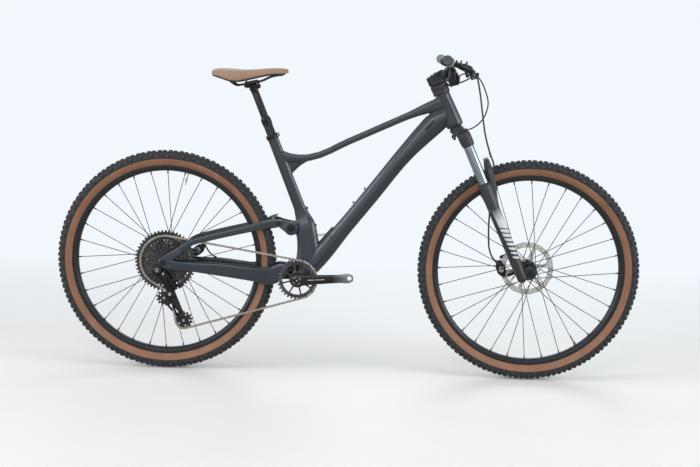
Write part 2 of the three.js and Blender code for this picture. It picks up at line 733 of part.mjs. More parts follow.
// ---------------------------------------------------------------- rear brake
put('rear_caliper', cut(
  loft([
    [-508, 40, 372, 11, 9], [-514, 57, 385, 15, 14], [-520, 57, 404, 16, 14], [-522, 57, 420, 9, 9],
  ], { square: 0.6, sides: 12, across: [0, 1, 0] }),
  barrel(REAR.x, REAR.z, 81.5, 54.6, 59.2, 40),
), BLACK_METAL());

put('rear_brake_hose', tube([
  [-500, 57, 417], [-486, 56, 410], [-476, 54, 396], [-462, 54, 381], [-448, 56, 373.6],
], 2.5, { steps: 12, sides: 6 }), BLACK_PLASTIC());

// ---------------------------------------------------------------- fork
const CROWN_LOW = 466;
const LOWERS_TOP = 328;
const LOWERS_FOOT = -17;

function forkCrown() {
  const sockets = [-LEG_Y, LEG_Y].map((y) => post(LEG_OFFSET, y, 21, CROWN_LOW, 514));
  const bridge = loft([
    [13, -LEG_Y, 500, 14, 19], [8, -48, 515, 12, 19], [2, -26, 526, 12.5, 21], [0, 0, 528, 12.5, 23],
    [2, 26, 526, 12.5, 21], [8, 48, 515, 12, 19], [13, LEG_Y, 500, 14, 19],
  ], { across: [1, 0, 0], square: 0.75, sides: 10 });
  const steerer = turned([
    [0, 532], [19, 532], [19, 556], [14.2, 596], [14.2, 726], [0, 726],
  ], 14);
  const holes = [-LEG_Y, LEG_Y].map((y) => post(LEG_OFFSET, y, bore(STANCHION_R), CROWN_LOW - 5, 506));
  return cut(join(...sockets, bridge, steerer), ...holes);
}

put('fork_crown', forkCrown(), FORK_PAINT(), steer);

for (const [name, side] of Object.entries(SIDES)) {
  const stanchion = turned([[13.4, 190], [STANCHION_R, 190], [STANCHION_R, 505], [13.4, 505]], 14);
  put(`stanchion_${name}`, stanchion.translate(LEG_OFFSET, side * LEG_Y, 0), SILVER_BLUE(), steer);
}

const CALIPER_TABS = { low: -6, high: 60 };

function forkLowers() {
  const pieces = [-1, 1].flatMap((side) => {
    const y = side * LEG_Y;
    return [
      turned([
        [0, LOWERS_FOOT], [13, LOWERS_FOOT], [17, -8], [18, 120], [20, 290], [20, LOWERS_TOP],
        [0, LOWERS_TOP],
      ], 14).translate(LEG_OFFSET, y, 0),
      barrel(AXLE_OFFSET, 0, 17, side * (DROPOUT_Y_FRONT + FIT), side * 75, 16),
      box(LEG_OFFSET, AXLE_OFFSET, Math.min(side * 56, side * 74), Math.max(side * 56, side * 74), -12, 12),
      loft([
        [26, y, 250, 6, 9], [36, y, 300, 10, 9], [48, side * 62, 340, 11, 8], [57, side * 52, 380, 10, 8],
        [60, side * 28, 398, 9, 8], [60, 0, 402, 9, 8],
      ], { square: 0.8 }),
    ];
  });
  const bores = [-1, 1].map((side) => post(LEG_OFFSET, side * LEG_Y, bore(STANCHION_R), 40, LOWERS_TOP + 5));
  const caliperTabs = [CALIPER_TABS.low, CALIPER_TABS.high].map((s) => box(-27, 6, 49, 61, s, s + 12));
  return cut(join(...pieces, ...caliperTabs), ...bores, barrel(AXLE_OFFSET, 0, bore(7.5), -90, 90));
}

put('fork_lowers', forkLowers(), FORK_PAINT(), steer);

put('front_axle', join(
  barrel(AXLE_OFFSET, 0, 7.5, -76, 74, 14),
  barrel(AXLE_OFFSET, 0, 11, -80, -75.4, 16),
), BLACK_METAL(), steer);

put('front_caliper', cut(
  loft([
    [-38, 42.4, -8, 9, 16], [-43, 42.4, 6, 14, 17], [-44, 42.4, 32, 14, 17], [-41, 42.4, 60, 12, 17],
    [-38, 42.4, 72, 8, 14],
  ], { square: 0.6, sides: 10 }),
  barrel(AXLE_OFFSET, 0, 92, 39.8, 45, 32),
  box(-27.4, 0, 20, 70, -30, 90),
), BLACK_METAL(), steer);

// ---------------------------------------------------------------- cockpit
put('headset_cover', turned([[15, 654.5], [26, 654.5], [26, 688], [15, 688]], 18), BLACK_PLASTIC(), steer);

const BAR = { x: 50, z: 710 };
put('stem', cut(
  join(
    post(0, 0, 22, 688.6, 730, 16),
    box(0, 46, -19, 19, 694, 726),
    barrel(BAR.x, BAR.z, 22, -24, 24, 16),
  ),
  post(0, 0, bore(14.2), 680, 727),
  barrel(BAR.x, BAR.z, bore(17.5), -30, 30),
), BLACK_METAL(), steer);

const BAR_TIP = { x: 47.7, z: 757 };
const BAR_BEND = { x: 62, z: 734, y: 108 };

// A point on the straight outer part of the bar, at a distance y from the middle.
function onBar(y) {
  const t = (Math.abs(y) - BAR_BEND.y) / (BAR_HALF - BAR_BEND.y);
  return new THREE.Vector3(
    BAR_BEND.x + (BAR_TIP.x - BAR_BEND.x) * t, y, BAR_BEND.z + (BAR_TIP.z - BAR_BEND.z) * t,
  );
}

function handlebar() {
  const half = [
    [BAR.x, 0, BAR.z, 17.5], [BAR.x, 27, BAR.z, 17.5], [BAR.x + 1, 42, BAR.z + 2, 16],
    [BAR.x + 6, 70, BAR.z + 12, 13.5], [BAR.x + 10, 90, BAR.z + 20, 12], [BAR_BEND.x, BAR_BEND.y, BAR_BEND.z, 11.1],
    [BAR_TIP.x, BAR_HALF - 3, BAR_TIP.z, 11.1],
  ];
  const station = ([x, y, z, r], side) => [x, side * y, z, r, r];
  const left = half.slice(1).reverse().map((s) => station(s, -1));
  const right = half.map((s) => station(s, 1));
  return loft([...left, ...right], { across: [1, 0, 0], sides: 12 });
}

put('handlebar', handlebar(), BLACK_METAL(), steer);

// A sleeve round the bar from y0 to y1 (distances from the middle).
function sleeve(side, y0, y1, r, inner, sides = 12) {
  const from = onBar(side * y0);
  const to = onBar(side * y1);
  const along = to.clone().sub(from);
  const ring = turned([[inner, 0], [r, 0], [r, along.length()], [inner, along.length()]], sides);
  ring.applyQuaternion(new THREE.Quaternion().setFromUnitVectors(new THREE.Vector3(0, 0, 1), along.normalize()));
  return facingOut(ring.translate(from.x, from.y, from.z));
}

const BAR_FIT = bore(11.1, 12);
for (const [name, side] of Object.entries(SIDES)) {
  put(`grip_${name}`, sleeve(side, 250, BAR_HALF, 16, BAR_FIT), GRIP_RUBBER(), steer);

  const leverBody = cut(
    join(
      sleeve(side, 226, 238, 16, 1),
      loft([
        [66, side * 232, 738, 9, 6], [82, side * 226, 722, 9, 8], [98, side * 212, 704, 9, 9],
        [110, side * 192, 692, 9, 10], [112, side * 176, 690, 8, 9],
      ], { square: 0.7, across: [1, 0, 1] }),
    ),
    sleeve(side, 215, 249, BAR_FIT, 0.5),
  );
  put(`brake_body_${name}`, leverBody, BLACK_METAL(), steer);

  const blade = loft([
    [104, side * 180, 675, 3, 5], [110, side * 196, 672, 4, 6], [117, side * 222, 670, 3, 5],
    [120, side * 260, 675, 3, 5], [116, side * 292, 682, 3, 5], [121, side * 304, 680, 3, 5],
  ], { square: 0.8, sides: 10, across: [1, 0, 1] });
  put(`brake_blade_${name}`, blade, BLACK_METAL(), steer);
}

put('shifter_body', cut(
  join(
    sleeve(-1, 204, 216, 15.5, 1),
    loft([[58, -210, 728, 8, 8], [50, -206, 708, 12, 18], [44, -200, 688, 15, 22], [40, -198, 672, 12, 18]],
      { square: 0.6 }),
  ),
  sleeve(-1, 195, 225, BAR_FIT, 0.5),
), BLACK_PLASTIC(), steer);
put('shift_lever', loft([
  [24, -196, 688, 6, 7], [10, -202, 684, 5, 9], [-2, -210, 682, 3, 9],
], { square: 0.6, sides: 10 }), BLACK_PLASTIC(), steer);

put('remote_body', cut(
  join(
    sleeve(1, 204, 216, 15.5, 1),
    loft([[58, 210, 728, 8, 8], [52, 206, 710, 10, 14], [48, 202, 694, 10, 16]], { square: 0.6 }),
  ),
  sleeve(1, 195, 225, BAR_FIT, 0.5),
), BLACK_PLASTIC(), steer);
put('dropper_lever', loft([
  [36, 200, 704, 5, 7], [20, 206, 698, 4, 8], [4, 214, 694, 3, 9],
], { square: 0.6, sides: 10 }), BLACK_METAL(), steer);
put('lockout_lever', loft([
  [40, 196, 684, 3, 6], [24, 204, 680, 3, 8], [8, 212, 678, 3, 8],
], { square: 0.6, sides: 10 }), BLACK_METAL(), steer);

// ---------------------------------------------------------------- hoses and cables
put('rear_hose_cockpit', tube([
  [116, -166, 688], [118, -140, 684], [104, -90, 672], [70, -45, 668], [42, -18, 672], [27.5, -8, 674],
], 2.5, { steps: 16, sides: 6 }), BLACK_PLASTIC(), steer);

put('front_hose_upper', tube([
  [116, 166, 688], [120, 130, 680], [122, 80, 662], [114, 50, 610], [98, 43, 540], [82, 41, 470], [73, 41, 404],
], 2.5, { steps: 20, sides: 6 }), BLACK_PLASTIC(), steer);

put('front_hose_lower', tube([
  [73, 41, 403.4], [72, 40, 372], [55, 40, 335], [28, 40.5, 282], [-6, 41, 215], [-34, 42, 152], [-46, 42.4, 108],
  [-42, 42.4, 76],
], 2.5, { steps: 18, sides: 6 }), BLACK_PLASTIC(), steer);

put('lockout_cable', tube([
  [60, 196, 681], [96, 130, 684], [128, 20, 668], [134, -40, 620], [124, -62, 568], [92, -66, 532], [52, -65, 517],
  [26, -65, 518],
], 2, { steps: 22, sides: 6 }), BLACK_PLASTIC(), steer);

export default bike;
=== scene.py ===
"""Full-suspension trail bike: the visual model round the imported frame."""
from math import acos, asin, atan2, cos, hypot, pi, radians, sin, tau

import bmesh
import bpy
import numpy as np
from mathutils import Matrix, Vector
from mathutils.bvhtree import BVHTree
from mathutils.geometry import tessellate_polygon


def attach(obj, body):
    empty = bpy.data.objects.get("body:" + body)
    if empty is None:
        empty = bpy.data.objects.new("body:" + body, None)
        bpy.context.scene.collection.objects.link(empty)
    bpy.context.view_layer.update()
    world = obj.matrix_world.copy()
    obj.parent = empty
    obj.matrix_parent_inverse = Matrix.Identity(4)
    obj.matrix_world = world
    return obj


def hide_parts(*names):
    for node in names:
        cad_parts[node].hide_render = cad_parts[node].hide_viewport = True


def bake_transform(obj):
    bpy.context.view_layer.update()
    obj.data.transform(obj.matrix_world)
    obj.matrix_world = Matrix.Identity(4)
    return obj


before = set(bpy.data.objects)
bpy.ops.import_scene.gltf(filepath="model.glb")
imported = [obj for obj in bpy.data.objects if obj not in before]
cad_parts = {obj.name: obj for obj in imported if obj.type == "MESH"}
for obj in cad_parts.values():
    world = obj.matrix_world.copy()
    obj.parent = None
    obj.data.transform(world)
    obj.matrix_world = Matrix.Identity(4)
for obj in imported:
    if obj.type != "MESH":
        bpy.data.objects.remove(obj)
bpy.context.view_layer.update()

MM = 0.001
WELD = 1e-6
WHEELBASE = 1215
TYRE_R = 370
BB = (-162, 323)
PIVOT = (-186, 364)
FLEX = (-548, 416)
LINK = (-188, 490)
STAY_EYE = (-230, 509)
SHOCK_HEAD = (-149, 512.5)
SHOCK_FOOT = (-132, 352)
REAR = (-WHEELBASE / 2, TYRE_R)
FRONT = (WHEELBASE / 2, TYRE_R)
GUIDE = (-611, 244)
TENSION = (-544, 170)
CAGE_PIVOT = (-588, 262)
PITCH = 12.7
COGS = [50, 42, 36, 32, 28, 25, 22, 19, 17, 15, 13, 11]
COG_Y = -32
COG_STEP = 3.65
CHAIN_Y_REAR = COG_Y - COG_STEP
CHAIN_Y_FRONT = -52
SIDES = {"drive": -1, "far": 1}


def leaning(x, z, degrees):
    """A frame of reference whose z runs up an axis that leans back from upright."""
    return Matrix.Translation((x, 0, z)) @ Matrix.Rotation(-radians(degrees), 4, "Y")


HEAD_LEAN = 24
SEAT_LEAN = 22.2
STEER_FOOT = (567.30, 352.10)
WORLD = Matrix.Identity(4)
STEER = leaning(*STEER_FOOT, HEAD_LEAN)
SEAT = leaning(-200, 650, SEAT_LEAN)
SHOCK_TILT = atan2(SHOCK_HEAD[0] - SHOCK_FOOT[0], SHOCK_HEAD[1] - SHOCK_FOOT[1])
SHOCK = Matrix.Translation((SHOCK_FOOT[0], 0, SHOCK_FOOT[1])) @ Matrix.Rotation(SHOCK_TILT, 4, "Y")
# Places in the steering frame, forward and up: the wheel axle and the bar's middle.
DROPOUT = (44, 0)
BAR_CLAMP = (50, 710)


# ---------------------------------------------------------------- outlines
def smooth(points, steps=4):
    """More points on a smooth curve through these. Only the first three numbers are a place."""
    p = np.array(points, float)
    gap = np.linalg.norm(np.diff(p[:, :3], axis=0), axis=1)[:, None]
    slope = np.diff(p, axis=0) / gap
    middle = (slope[:-1] * gap[1:] + slope[1:] * gap[:-1]) / (gap[:-1] + gap[1:])
    tangent = np.vstack([slope[:1], middle, slope[-1:]])
    rows = []
    for i in range(len(gap)):
        for t in np.arange(steps) / steps:
            rows.append(
                (2 * t**3 - 3 * t**2 + 1) * p[i]
                + (t**3 - 2 * t**2 + t) * gap[i] * tangent[i]
                + (3 * t**2 - 2 * t**3) * p[i + 1]
                + (t**3 - t**2) * gap[i] * tangent[i + 1]
            )
    return np.array(rows + [p[-1]])


def fillet(loop, r, steps=3, closed=True):
    """The same outline with its corners rounded."""
    points = [Vector(p) for p in loop]
    n = len(points)
    out = []
    for i, here in enumerate(points):
        if not closed and i in (0, n - 1):
            out.append(here)
            continue
        back, ahead = points[i - 1] - here, points[(i + 1) % n] - here
        reach = min(r, 0.45 * back.length, 0.45 * ahead.length)
        a, b = here + back.normalized() * reach, here + ahead.normalized() * reach
        for k in range(steps + 1):
            t = k / steps
            out.append(a * (1 - t) ** 2 + here * 2 * t * (1 - t) + b * t**2)
    return [tuple(p) for p in out]


def polar(centre, r, angle):
    return centre[0] + r * cos(angle), centre[1] + r * sin(angle)


def arc(centre, r, start, end, count):
    return [polar(centre, r, start + (end - start) * k / count) for k in range(count + 1)]


def circle(centre, r, count=32):
    return arc(centre, r, 0, tau, count)[:-1]


def strap(a, ra, b, rb, count=16):
    """Two round ends joined by their tangents."""
    angle = atan2(b[1] - a[1], b[0] - a[0])
    spread = acos((ra - rb) / hypot(b[0] - a[0], b[1] - a[1]))
    first = arc(a, ra, angle + spread, angle + tau - spread, count)
    return first + arc(b, rb, angle - spread, angle + spread, count)


def box2(x0, x1, z0, z1, r=1.5):
    return fillet([(x0, z0), (x1, z0), (x1, z1), (x0, z1)], r)


def windows(centre, outer, inner, arms, half, turn=0.0, r=3):
    """The gaps between the arms of a spoked disc."""
    found = []
    for i in range(arms):
        a, b = turn + tau * i / arms, turn + tau * (i + 1) / arms
        far = arc(centre, outer, a + half / outer, b - half / outer, 8)
        near = arc(centre, inner, b - half / inner, a + half / inner, 4)
        found.append(fillet(far + near, r))
    return found


def gear(centre, teeth, root, tip, turn=0.0):
    """The outline of a sprocket."""
    outline = []
    for i in range(teeth):
        for share, r in (
            (0.0, root), (0.16, root + 0.4), (0.34, tip - 0.5), (0.44, tip), (0.56, tip), (0.66, tip - 0.5),
            (0.84, root + 0.4)
        ):
            outline.append(polar(centre, r, turn + tau * (i + share) / teeth))
    return outline


def pitch_radius(teeth):
    return PITCH / (2 * sin(pi / teeth))


# ---------------------------------------------------------------- shapes: (vertices, faces, material index)
def tube_faces(rings, sides):
    faces = []
    for i in range(rings - 1):
        here, there = i * sides, (i + 1) * sides
        for k in range(sides):
            l = (k + 1) % sides
            faces.append((here + k, here + l, there + l, there + k))
    faces.append(tuple(range(sides - 1, -1, -1)))
    faces.append(tuple((rings - 1) * sides + k for k in range(sides)))
    return faces


def skin(stations, sides=24, across=(0, 1, 0), power=1.0, steps=4, cap=2.0, section=None):
    """A closed skin through sections [x, y, z, half depth, half width], with rounded ends."""
    rows = smooth(stations, steps)
    axis = Vector(across)
    if section:
        unit = fillet(section, 0.22)
        sides = len(unit)
    else:
        angles = [tau * k / sides for k in range(sides)]
        unit = [
            (abs(cos(a)) ** power * (1 if cos(a) > 0 else -1), abs(sin(a)) ** power * (1 if sin(a) > 0 else -1))
            for a in angles
        ]
    rings = []
    count = len(rows)
    for i, row in enumerate(rows):
        along = Vector(rows[min(i + 1, count - 1)][:3] - rows[max(i - 1, 0)][:3]).normalized()
        side = (axis - along * axis.dot(along)).normalized()
        ends = {0: 1, count - 1: -1}.get(i)
        bends = [(0.0, 0.0)]
        if ends:
            bends = [(cap * (1 - cos(radians(a))), cap * (1 - sin(radians(a)))) for a in (0, 30, 60, 90)]
            if ends < 0:
                bends.reverse()
        for inset, shrink in bends:
            centre = Vector(row[:3]) + along * inset * (ends or 0)
            depth, width = max(row[3] - shrink, 0.05), max(row[4] - shrink, 0.05)
            up = along.cross(side)
            rings.append([centre + side * width * u + up * depth * v for u, v in unit])
    return [v for ring in rings for v in ring], tube_faces(len(rings), sides), 0


def sweep(points, radius, sides=12, steps=5, kind=0):
    """A round tube through these points."""
    rows = smooth(points, steps) if steps > 1 else np.array(points, float)
    n = len(rows)
    verts = []
    side = None
    for i, row in enumerate(rows):
        along = Vector(rows[min(i + 1, n - 1)][:3] - rows[max(i - 1, 0)][:3]).normalized()
        side = side or along.orthogonal()
        side = (side - along * side.dot(along)).normalized()
        up = along.cross(side)
        for k in range(sides):
            a = tau * k / sides
            verts.append(Vector(row[:3]) + side * radius * cos(a) + up * radius * sin(a))
    return verts, tube_faces(n, sides), kind


def lathe(profile, sides=48, ease=0.6, kind=0):
    """An outline of (radius, height) turned round the Z axis, with its corners eased."""
    closed = min(profile[0][0], profile[-1][0]) > 0
    line = fillet(profile, ease, 2, closed) if ease else profile
    n = len(line)
    verts, faces = [], []
    for k in range(sides):
        a = tau * k / sides
        for r, h in line:
            verts.append(Vector((r * cos(a), r * sin(a), h)))
    for k in range(sides):
        here, there = k * n, ((k + 1) % sides) * n
        for i in range(n if closed else n - 1):
            j = (i + 1) % n
            faces.append((here + i, here + j, there + j, there + i))
    return verts, faces, kind


def turned(profile, spot, sides, ease, kind=0):
    """An outline of (radius, y) turned round an axis along Y, through the spot (x, z)."""
    verts, faces, kind = lathe(profile, sides, ease, kind)
    at = Vector((spot[0], 0, spot[1]))
    return [Vector((v.x, v.z, v.y)) + at for v in verts], faces, kind


def oblong(inner, outer, low, high):
    """A plain outline for lathe or turned."""
    return [(inner, low), (outer, low), (outer, high), (inner, high)]


def aimed(shape, at, toward):
    """A shape that stands on the origin, moved to a place and tipped from Z to a direction."""
    tip = Vector((0, 0, 1)).rotation_difference(Vector(toward))
    return moved(shape, Matrix.Translation(at) @ tip.to_matrix().to_4x4())


def ring(a, b, r, inner, sides=32, ease=0.5, kind=0):
    """A sleeve between two points."""
    a, b = Vector(a), Vector(b)
    return aimed(lathe(oblong(inner, r, 0, (b - a).length), sides, ease, kind), a, b - a)


def rod(a, b, r, sides=24, ease=0.5, kind=0):
    """A plain round bar between two points, with eased ends."""
    return ring(a, b, r, 0, sides, ease, kind)


def pin(spot, y0, y1, r, sides, ease=0.5, kind=0, inner=0):
    """A bar along Y, or a sleeve where it has an inner radius."""
    return ring((spot[0], y0, spot[1]), (spot[0], y1, spot[1]), r, inner, sides, ease, kind)


def bore(spot, r, half, sides):
    """A cutter along Y."""
    return turned(oblong(0, r, -half, half), spot, sides, 0)


def bolt(at, toward, r=3.5, height=2.5, kind=0):
    """A socket-head screw."""
    outline = [(0, height * 0.35), (r * 0.5, height * 0.35), (r * 0.55, height), (r, height), (r, -2), (0, -2)]
    return aimed(lathe(outline, 20, 0.35, kind), at, toward)


def area(loop):
    return sum(a[0] * b[1] - b[0] * a[1] for a, b in zip(loop, loop[1:] + loop[:1])) / 2


def plate(outline, holes, y0, y1, bevel=0.3):
    """A flat plate square to Y, with its edges eased."""
    loops = [outline if area(outline) > 0 else outline[::-1]]
    loops += [h if area(h) < 0 else h[::-1] for h in holes]
    low, high = min(y0, y1), max(y0, y1)
    verts, faces, tops, base = [], [], [], 0
    for loop in loops:
        n = len(loop)
        inner = []
        for i, p in enumerate(loop):
            ahead = Vector(loop[(i + 1) % n]) - Vector(loop[i - 1])
            inner.append(Vector(p) + Vector((-ahead.y, ahead.x)).normalized() * bevel)
        for points, y in ((inner, low), (loop, low + bevel), (loop, high - bevel), (inner, high)):
            verts += [(p[0], y, p[1]) for p in points]
        for level in range(3):
            for i in range(n):
                j = (i + 1) % n
                a, b = base + level * n, base + (level + 1) * n
                faces.append((a + i, a + j, b + j, b + i))
        tops.append((base, n, inner))
        base += 4 * n
    index = [(start, n, i) for start, n, inner in tops for i in range(n)]
    for tri in tessellate_polygon([[Vector((p.x, p.y, 0)) for p in inner] for _, _, inner in tops]):
        faces.append(tuple(index[k][0] + index[k][2] for k in tri))
        faces.append(tuple(index[k][0] + 3 * index[k][1] + index[k][2] for k in reversed(tri)))
    return verts, faces, 0


def moved(shape, matrix):
    return [matrix @ Vector(v) for v in shape[0]], shape[1], shape[2]


def spun(shape, centre, count, start=0.0):
    """Copies of a shape round an axis along Y."""
    copies = []
    for i in range(count):
        pivot = Matrix.Translation((centre[0], 0, centre[1]))
        copies.append(moved(shape, pivot @ Matrix.Rotation(start + tau * i / count, 4, "Y") @ pivot.inverted()))
    return copies


def mesh_of(name, shapes, place=WORLD):
    verts, faces, kinds = [], [], []
    for v, f, kind in shapes:
        base = len(verts)
        verts += [tuple(p) for p in v]
        faces += [tuple(base + i for i in face) for face in f]
        kinds += [kind] * len(f)
    mesh = bpy.data.meshes.new(name)
    mesh.from_pydata(verts, [], faces)
    mesh.polygons.foreach_set("material_index", kinds)
    mesh.transform(Matrix.Scale(MM, 4) @ place)
    bm = bmesh.new()
    bm.from_mesh(mesh)
    bmesh.ops.remove_doubles(bm, verts=bm.verts, dist=WELD)
    bmesh.ops.dissolve_degenerate(bm, edges=bm.edges, dist=WELD / 10)
    bmesh.ops.recalc_face_normals(bm, faces=bm.faces)
    bm.to_mesh(mesh)
    bm.free()
    return mesh


def evaluated(mesh, setup):
    """The mesh after the modifiers that setup adds."""
    holder = bpy.data.objects.new("holder", mesh)
    bpy.context.scene.collection.objects.link(holder)
    setup(holder.modifiers)
    graph = bpy.context.evaluated_depsgraph_get()
    result = bpy.data.meshes.new_from_object(holder.evaluated_get(graph))
    bpy.data.objects.remove(holder)
    return result


def fused(shapes, voxel, rounds, place=WORLD):
    """Shapes grown into one smooth moulding."""
    def setup(modifiers):
        remesh = modifiers.new("remesh", "REMESH")
        remesh.mode = "VOXEL"
        remesh.voxel_size = voxel * MM
        relax = modifiers.new("relax", "SMOOTH")
        relax.factor = 0.5
        relax.iterations = rounds

    return evaluated(mesh_of("fused", shapes, place), setup)


def carved(mesh, cutters):
    """The mesh with each shape cut out of it in turn."""
    for cutter in cutters:
        tool = bpy.data.objects.new("tool", mesh_of("tool", [cutter]))
        bpy.context.scene.collection.objects.link(tool)

        def setup(modifiers, tool=tool):
            cut = modifiers.new("cut", "BOOLEAN")
            cut.operation = "DIFFERENCE"
            cut.solver = "MANIFOLD"
            cut.object = tool

        mesh = evaluated(mesh, setup)
        bpy.data.objects.remove(tool)
    return mesh


def piece(name, made, looks, body, hides=(), place=WORLD, crease=35):
    """A piece of the bike: a mesh, or the shapes to make it from."""
    mesh = made if isinstance(made, bpy.types.Mesh) else mesh_of(name, made, place)
    mesh.name = name
    if mesh.materials:
        mesh.materials.clear()
    for look in looks if isinstance(looks, (list, tuple)) else [looks]:
        mesh.materials.append(look)
    mesh.shade_smooth()
    mesh.set_sharp_from_angle(angle=radians(crease))
    obj = bpy.data.objects.new(name, mesh)
    bpy.context.scene.collection.objects.link(obj)
    if body:
        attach(obj, body)
    if hides:
        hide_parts(*hides)
    return obj


# ---------------------------------------------------------------- materials
class Look:
    """A node material, and short ways to add nodes to it."""

    def __init__(self, name, rough, metal=0.0, coat=0.0, coat_rough=0.15):
        self.material = bpy.data.materials.new(name)
        self.material.use_nodes = True
        self.nodes = self.material.node_tree.nodes
        self.links = self.material.node_tree.links
        self.shader = self.nodes["Principled BSDF"]
        self.shader.inputs["Metallic"].default_value = metal
        self.shader.inputs["Roughness"].default_value = rough
        self.shader.inputs["Coat Weight"].default_value = coat
        self.shader.inputs["Coat Roughness"].default_value = coat_rough
        self.place = self.nodes.new("ShaderNodeTexCoord").outputs["Object"]

    def node(self, kind, inputs=(), **settings):
        made = self.nodes.new("ShaderNode" + kind)
        for key, value in settings.items():
            setattr(made, key, value)
        for key, value in dict(inputs).items():
            if isinstance(value, bpy.types.NodeSocket):
                self.links.new(value, made.inputs[key])
            else:
                made.inputs[key].default_value = value
        return made

    def noise(self, scale, detail=3.0, stretch=None):
        place = self.place
        if stretch:
            place = self.node("VectorMath", {0: place, 1: stretch}, operation="MULTIPLY").outputs[0]
        return self.node("TexNoise", {"Vector": place, "Scale": scale, "Detail": detail}).outputs["Fac"]

    def math(self, operation, a, b=0.0):
        return self.node("Math", {0: a, 1: b}, operation=operation).outputs[0]

    def between(self, value, low, high, start=0.0, end=1.0):
        """value, from low to high, as a number from start to end."""
        return self.node("MapRange", {0: value, 1: low, 2: high, 3: start, 4: end}).outputs[0]

    def mix(self, share, a, b):
        """Colour a where share is 0 and b where it is 1."""
        made = self.nodes.new("ShaderNodeMix")
        made.data_type = "RGBA"
        for key, value in ((0, share), (6, a), (7, b)):
            if isinstance(value, bpy.types.NodeSocket):
                self.links.new(value, made.inputs[key])
            elif key:
                made.inputs[key].default_value = (*value, 1)
            else:
                made.inputs[key].default_value = value
        return made.outputs[2]

    def along(self, x, y, z):
        """How far a point lies along a direction, in metres."""
        return self.node("VectorMath", {0: self.place, 1: (x, y, z)}, operation="DOT_PRODUCT").outputs["Value"]

    def radius(self, centre):
        """Distance from an axis along Y, in metres."""
        flat = self.node("VectorMath", {0: self.place, 1: (1, 0, 1)}, operation="MULTIPLY").outputs[0]
        middle = (centre[0] * MM, 0, centre[1] * MM)
        return self.node("VectorMath", {0: flat, 1: middle}, operation="DISTANCE").outputs["Value"]

    def edges(self, low=0.52, high=0.6):
        """1 on convex edges and 0 elsewhere."""
        return self.between(self.node("NewGeometry").outputs["Pointiness"], low, high)

    def finish(self, color, rough=None, bump=None, depth=0.05):
        self.links.new(color, self.shader.inputs["Base Color"])
        if rough:
            self.links.new(rough, self.shader.inputs["Roughness"])
        if bump:
            made = self.node("Bump", {"Height": bump, "Strength": depth, "Distance": 0.4 * MM})
            self.links.new(made.outputs[0], self.shader.inputs["Normal"])
        return self.material


def shaded(
    name, color, rough, metal=0.0, *, vary=0.12, patch=30, grain=1400, depth=0.08, coat=0.0, worn=None, wear=0.5
):
    """A finish with blotches, fine grain and, where worn is a colour, rubbed edges."""
    look = Look(name, rough, metal, coat)
    tone = look.noise(patch, 4)
    fine = look.noise(grain, 2)
    share = look.between(tone, 0.3, 0.7)
    out = look.mix(share, [c * (1 - vary) for c in color], [min(c * (1 + vary), 1) for c in color])
    speck = look.between(fine, 0.35, 0.65, 0, vary * 0.8)
    out = look.mix(speck, out, [min(c * 1.6 + 0.01, 1) for c in color])
    if worn:
        rub = look.math("MULTIPLY", look.edges(), look.between(look.noise(240), 0.35, 0.6, 0, wear))
        out = look.mix(rub, out, worn)
    rough_out = look.between(tone, 0.25, 0.75, max(rough - 0.07, 0.04), min(rough + 0.07, 1))
    return look.finish(out, rough_out, fine, depth)


def painted_frame():
    """Satin blue-graphite lacquer with fine flake, and a painted highlight along convex edges."""
    look = Look("frame_paint", 0.36, 0.0, 0.55, 0.22)
    tone = look.between(look.noise(5, 2), 0.3, 0.7)
    out = look.mix(tone, (0.017, 0.024, 0.034), (0.022, 0.030, 0.042))
    flake = look.between(look.noise(5200, 1), 0.55, 0.75, 0, 0.35)
    out = look.mix(flake, out, (0.06, 0.08, 0.105))
    # Painted highlight: a lighter blue-grey mixed in along convex edges, where the tube edges catch the light.
    out = look.mix(look.math("MULTIPLY", look.edges(0.53, 0.57), 0.4), out, (0.12, 0.145, 0.18))
    rough = look.between(look.noise(60, 3), 0.3, 0.7, 0.31, 0.4)
    return look.finish(out, rough, look.noise(900, 2), 0.02)


def painted_fork():
    """Matte grey that fades to a pale band and slanted stripes, over black."""
    look = Look("fork_paint", 0.46, 0.0, 0.15, 0.3)
    legs_top, stripes_top, stripes_foot, stripe_pitch = 0.24, 0.187, 0.072, 0.0155

    def from_foot(x, z):
        """How far a point lies from the steering frame's origin, along a direction."""
        return look.math("SUBTRACT", look.along(x, 0, z), (x * STEER_FOOT[0] + z * STEER_FOOT[1]) * MM)

    lean = radians(HEAD_LEAN)
    height = from_foot(-sin(lean), cos(lean))
    forward = from_foot(cos(lean), sin(lean))
    slanted = look.math("ADD", height, look.math("MULTIPLY", forward, 0.55))
    tone = look.between(look.noise(35, 4), 0.3, 0.7)
    grey = look.mix(tone, (0.028, 0.030, 0.034), (0.038, 0.041, 0.045))
    pale = look.mix(tone, (0.62, 0.63, 0.64), (0.72, 0.73, 0.74))
    black = look.mix(tone, (0.02, 0.021, 0.023), (0.032, 0.033, 0.036))
    fade = look.between(height, 0.246, 0.196)
    out = look.mix(fade, grey, pale)
    stripe = look.math("FRACT", look.math("MULTIPLY", slanted, 1 / stripe_pitch))
    duty = look.between(slanted, 0.06, 0.2, 0.38, 0.8)
    ink = look.math("GREATER_THAN", stripe, duty)
    in_stripes = look.math("LESS_THAN", slanted, stripes_top)
    out = look.mix(look.math("MULTIPLY", ink, in_stripes), out, black)
    out = look.mix(look.math("LESS_THAN", slanted, stripes_foot), out, black)
    front = look.math("LESS_THAN", forward, look.between(height, legs_top, 0.08, 0.0045, 0.013))
    low = look.math("LESS_THAN", height, legs_top)
    out = look.mix(look.math("MULTIPLY", front, low), out, black)
    side = look.node("SeparateXYZ", {0: look.place}).outputs[1]
    inward = look.math("LESS_THAN", look.math("ABSOLUTE", side), 0.062)
    out = look.mix(look.math("MULTIPLY", inward, low), out, black)
    return look.finish(out, look.between(look.noise(90), 0.3, 0.7, 0.4, 0.52), look.noise(1800, 2), 0.06)


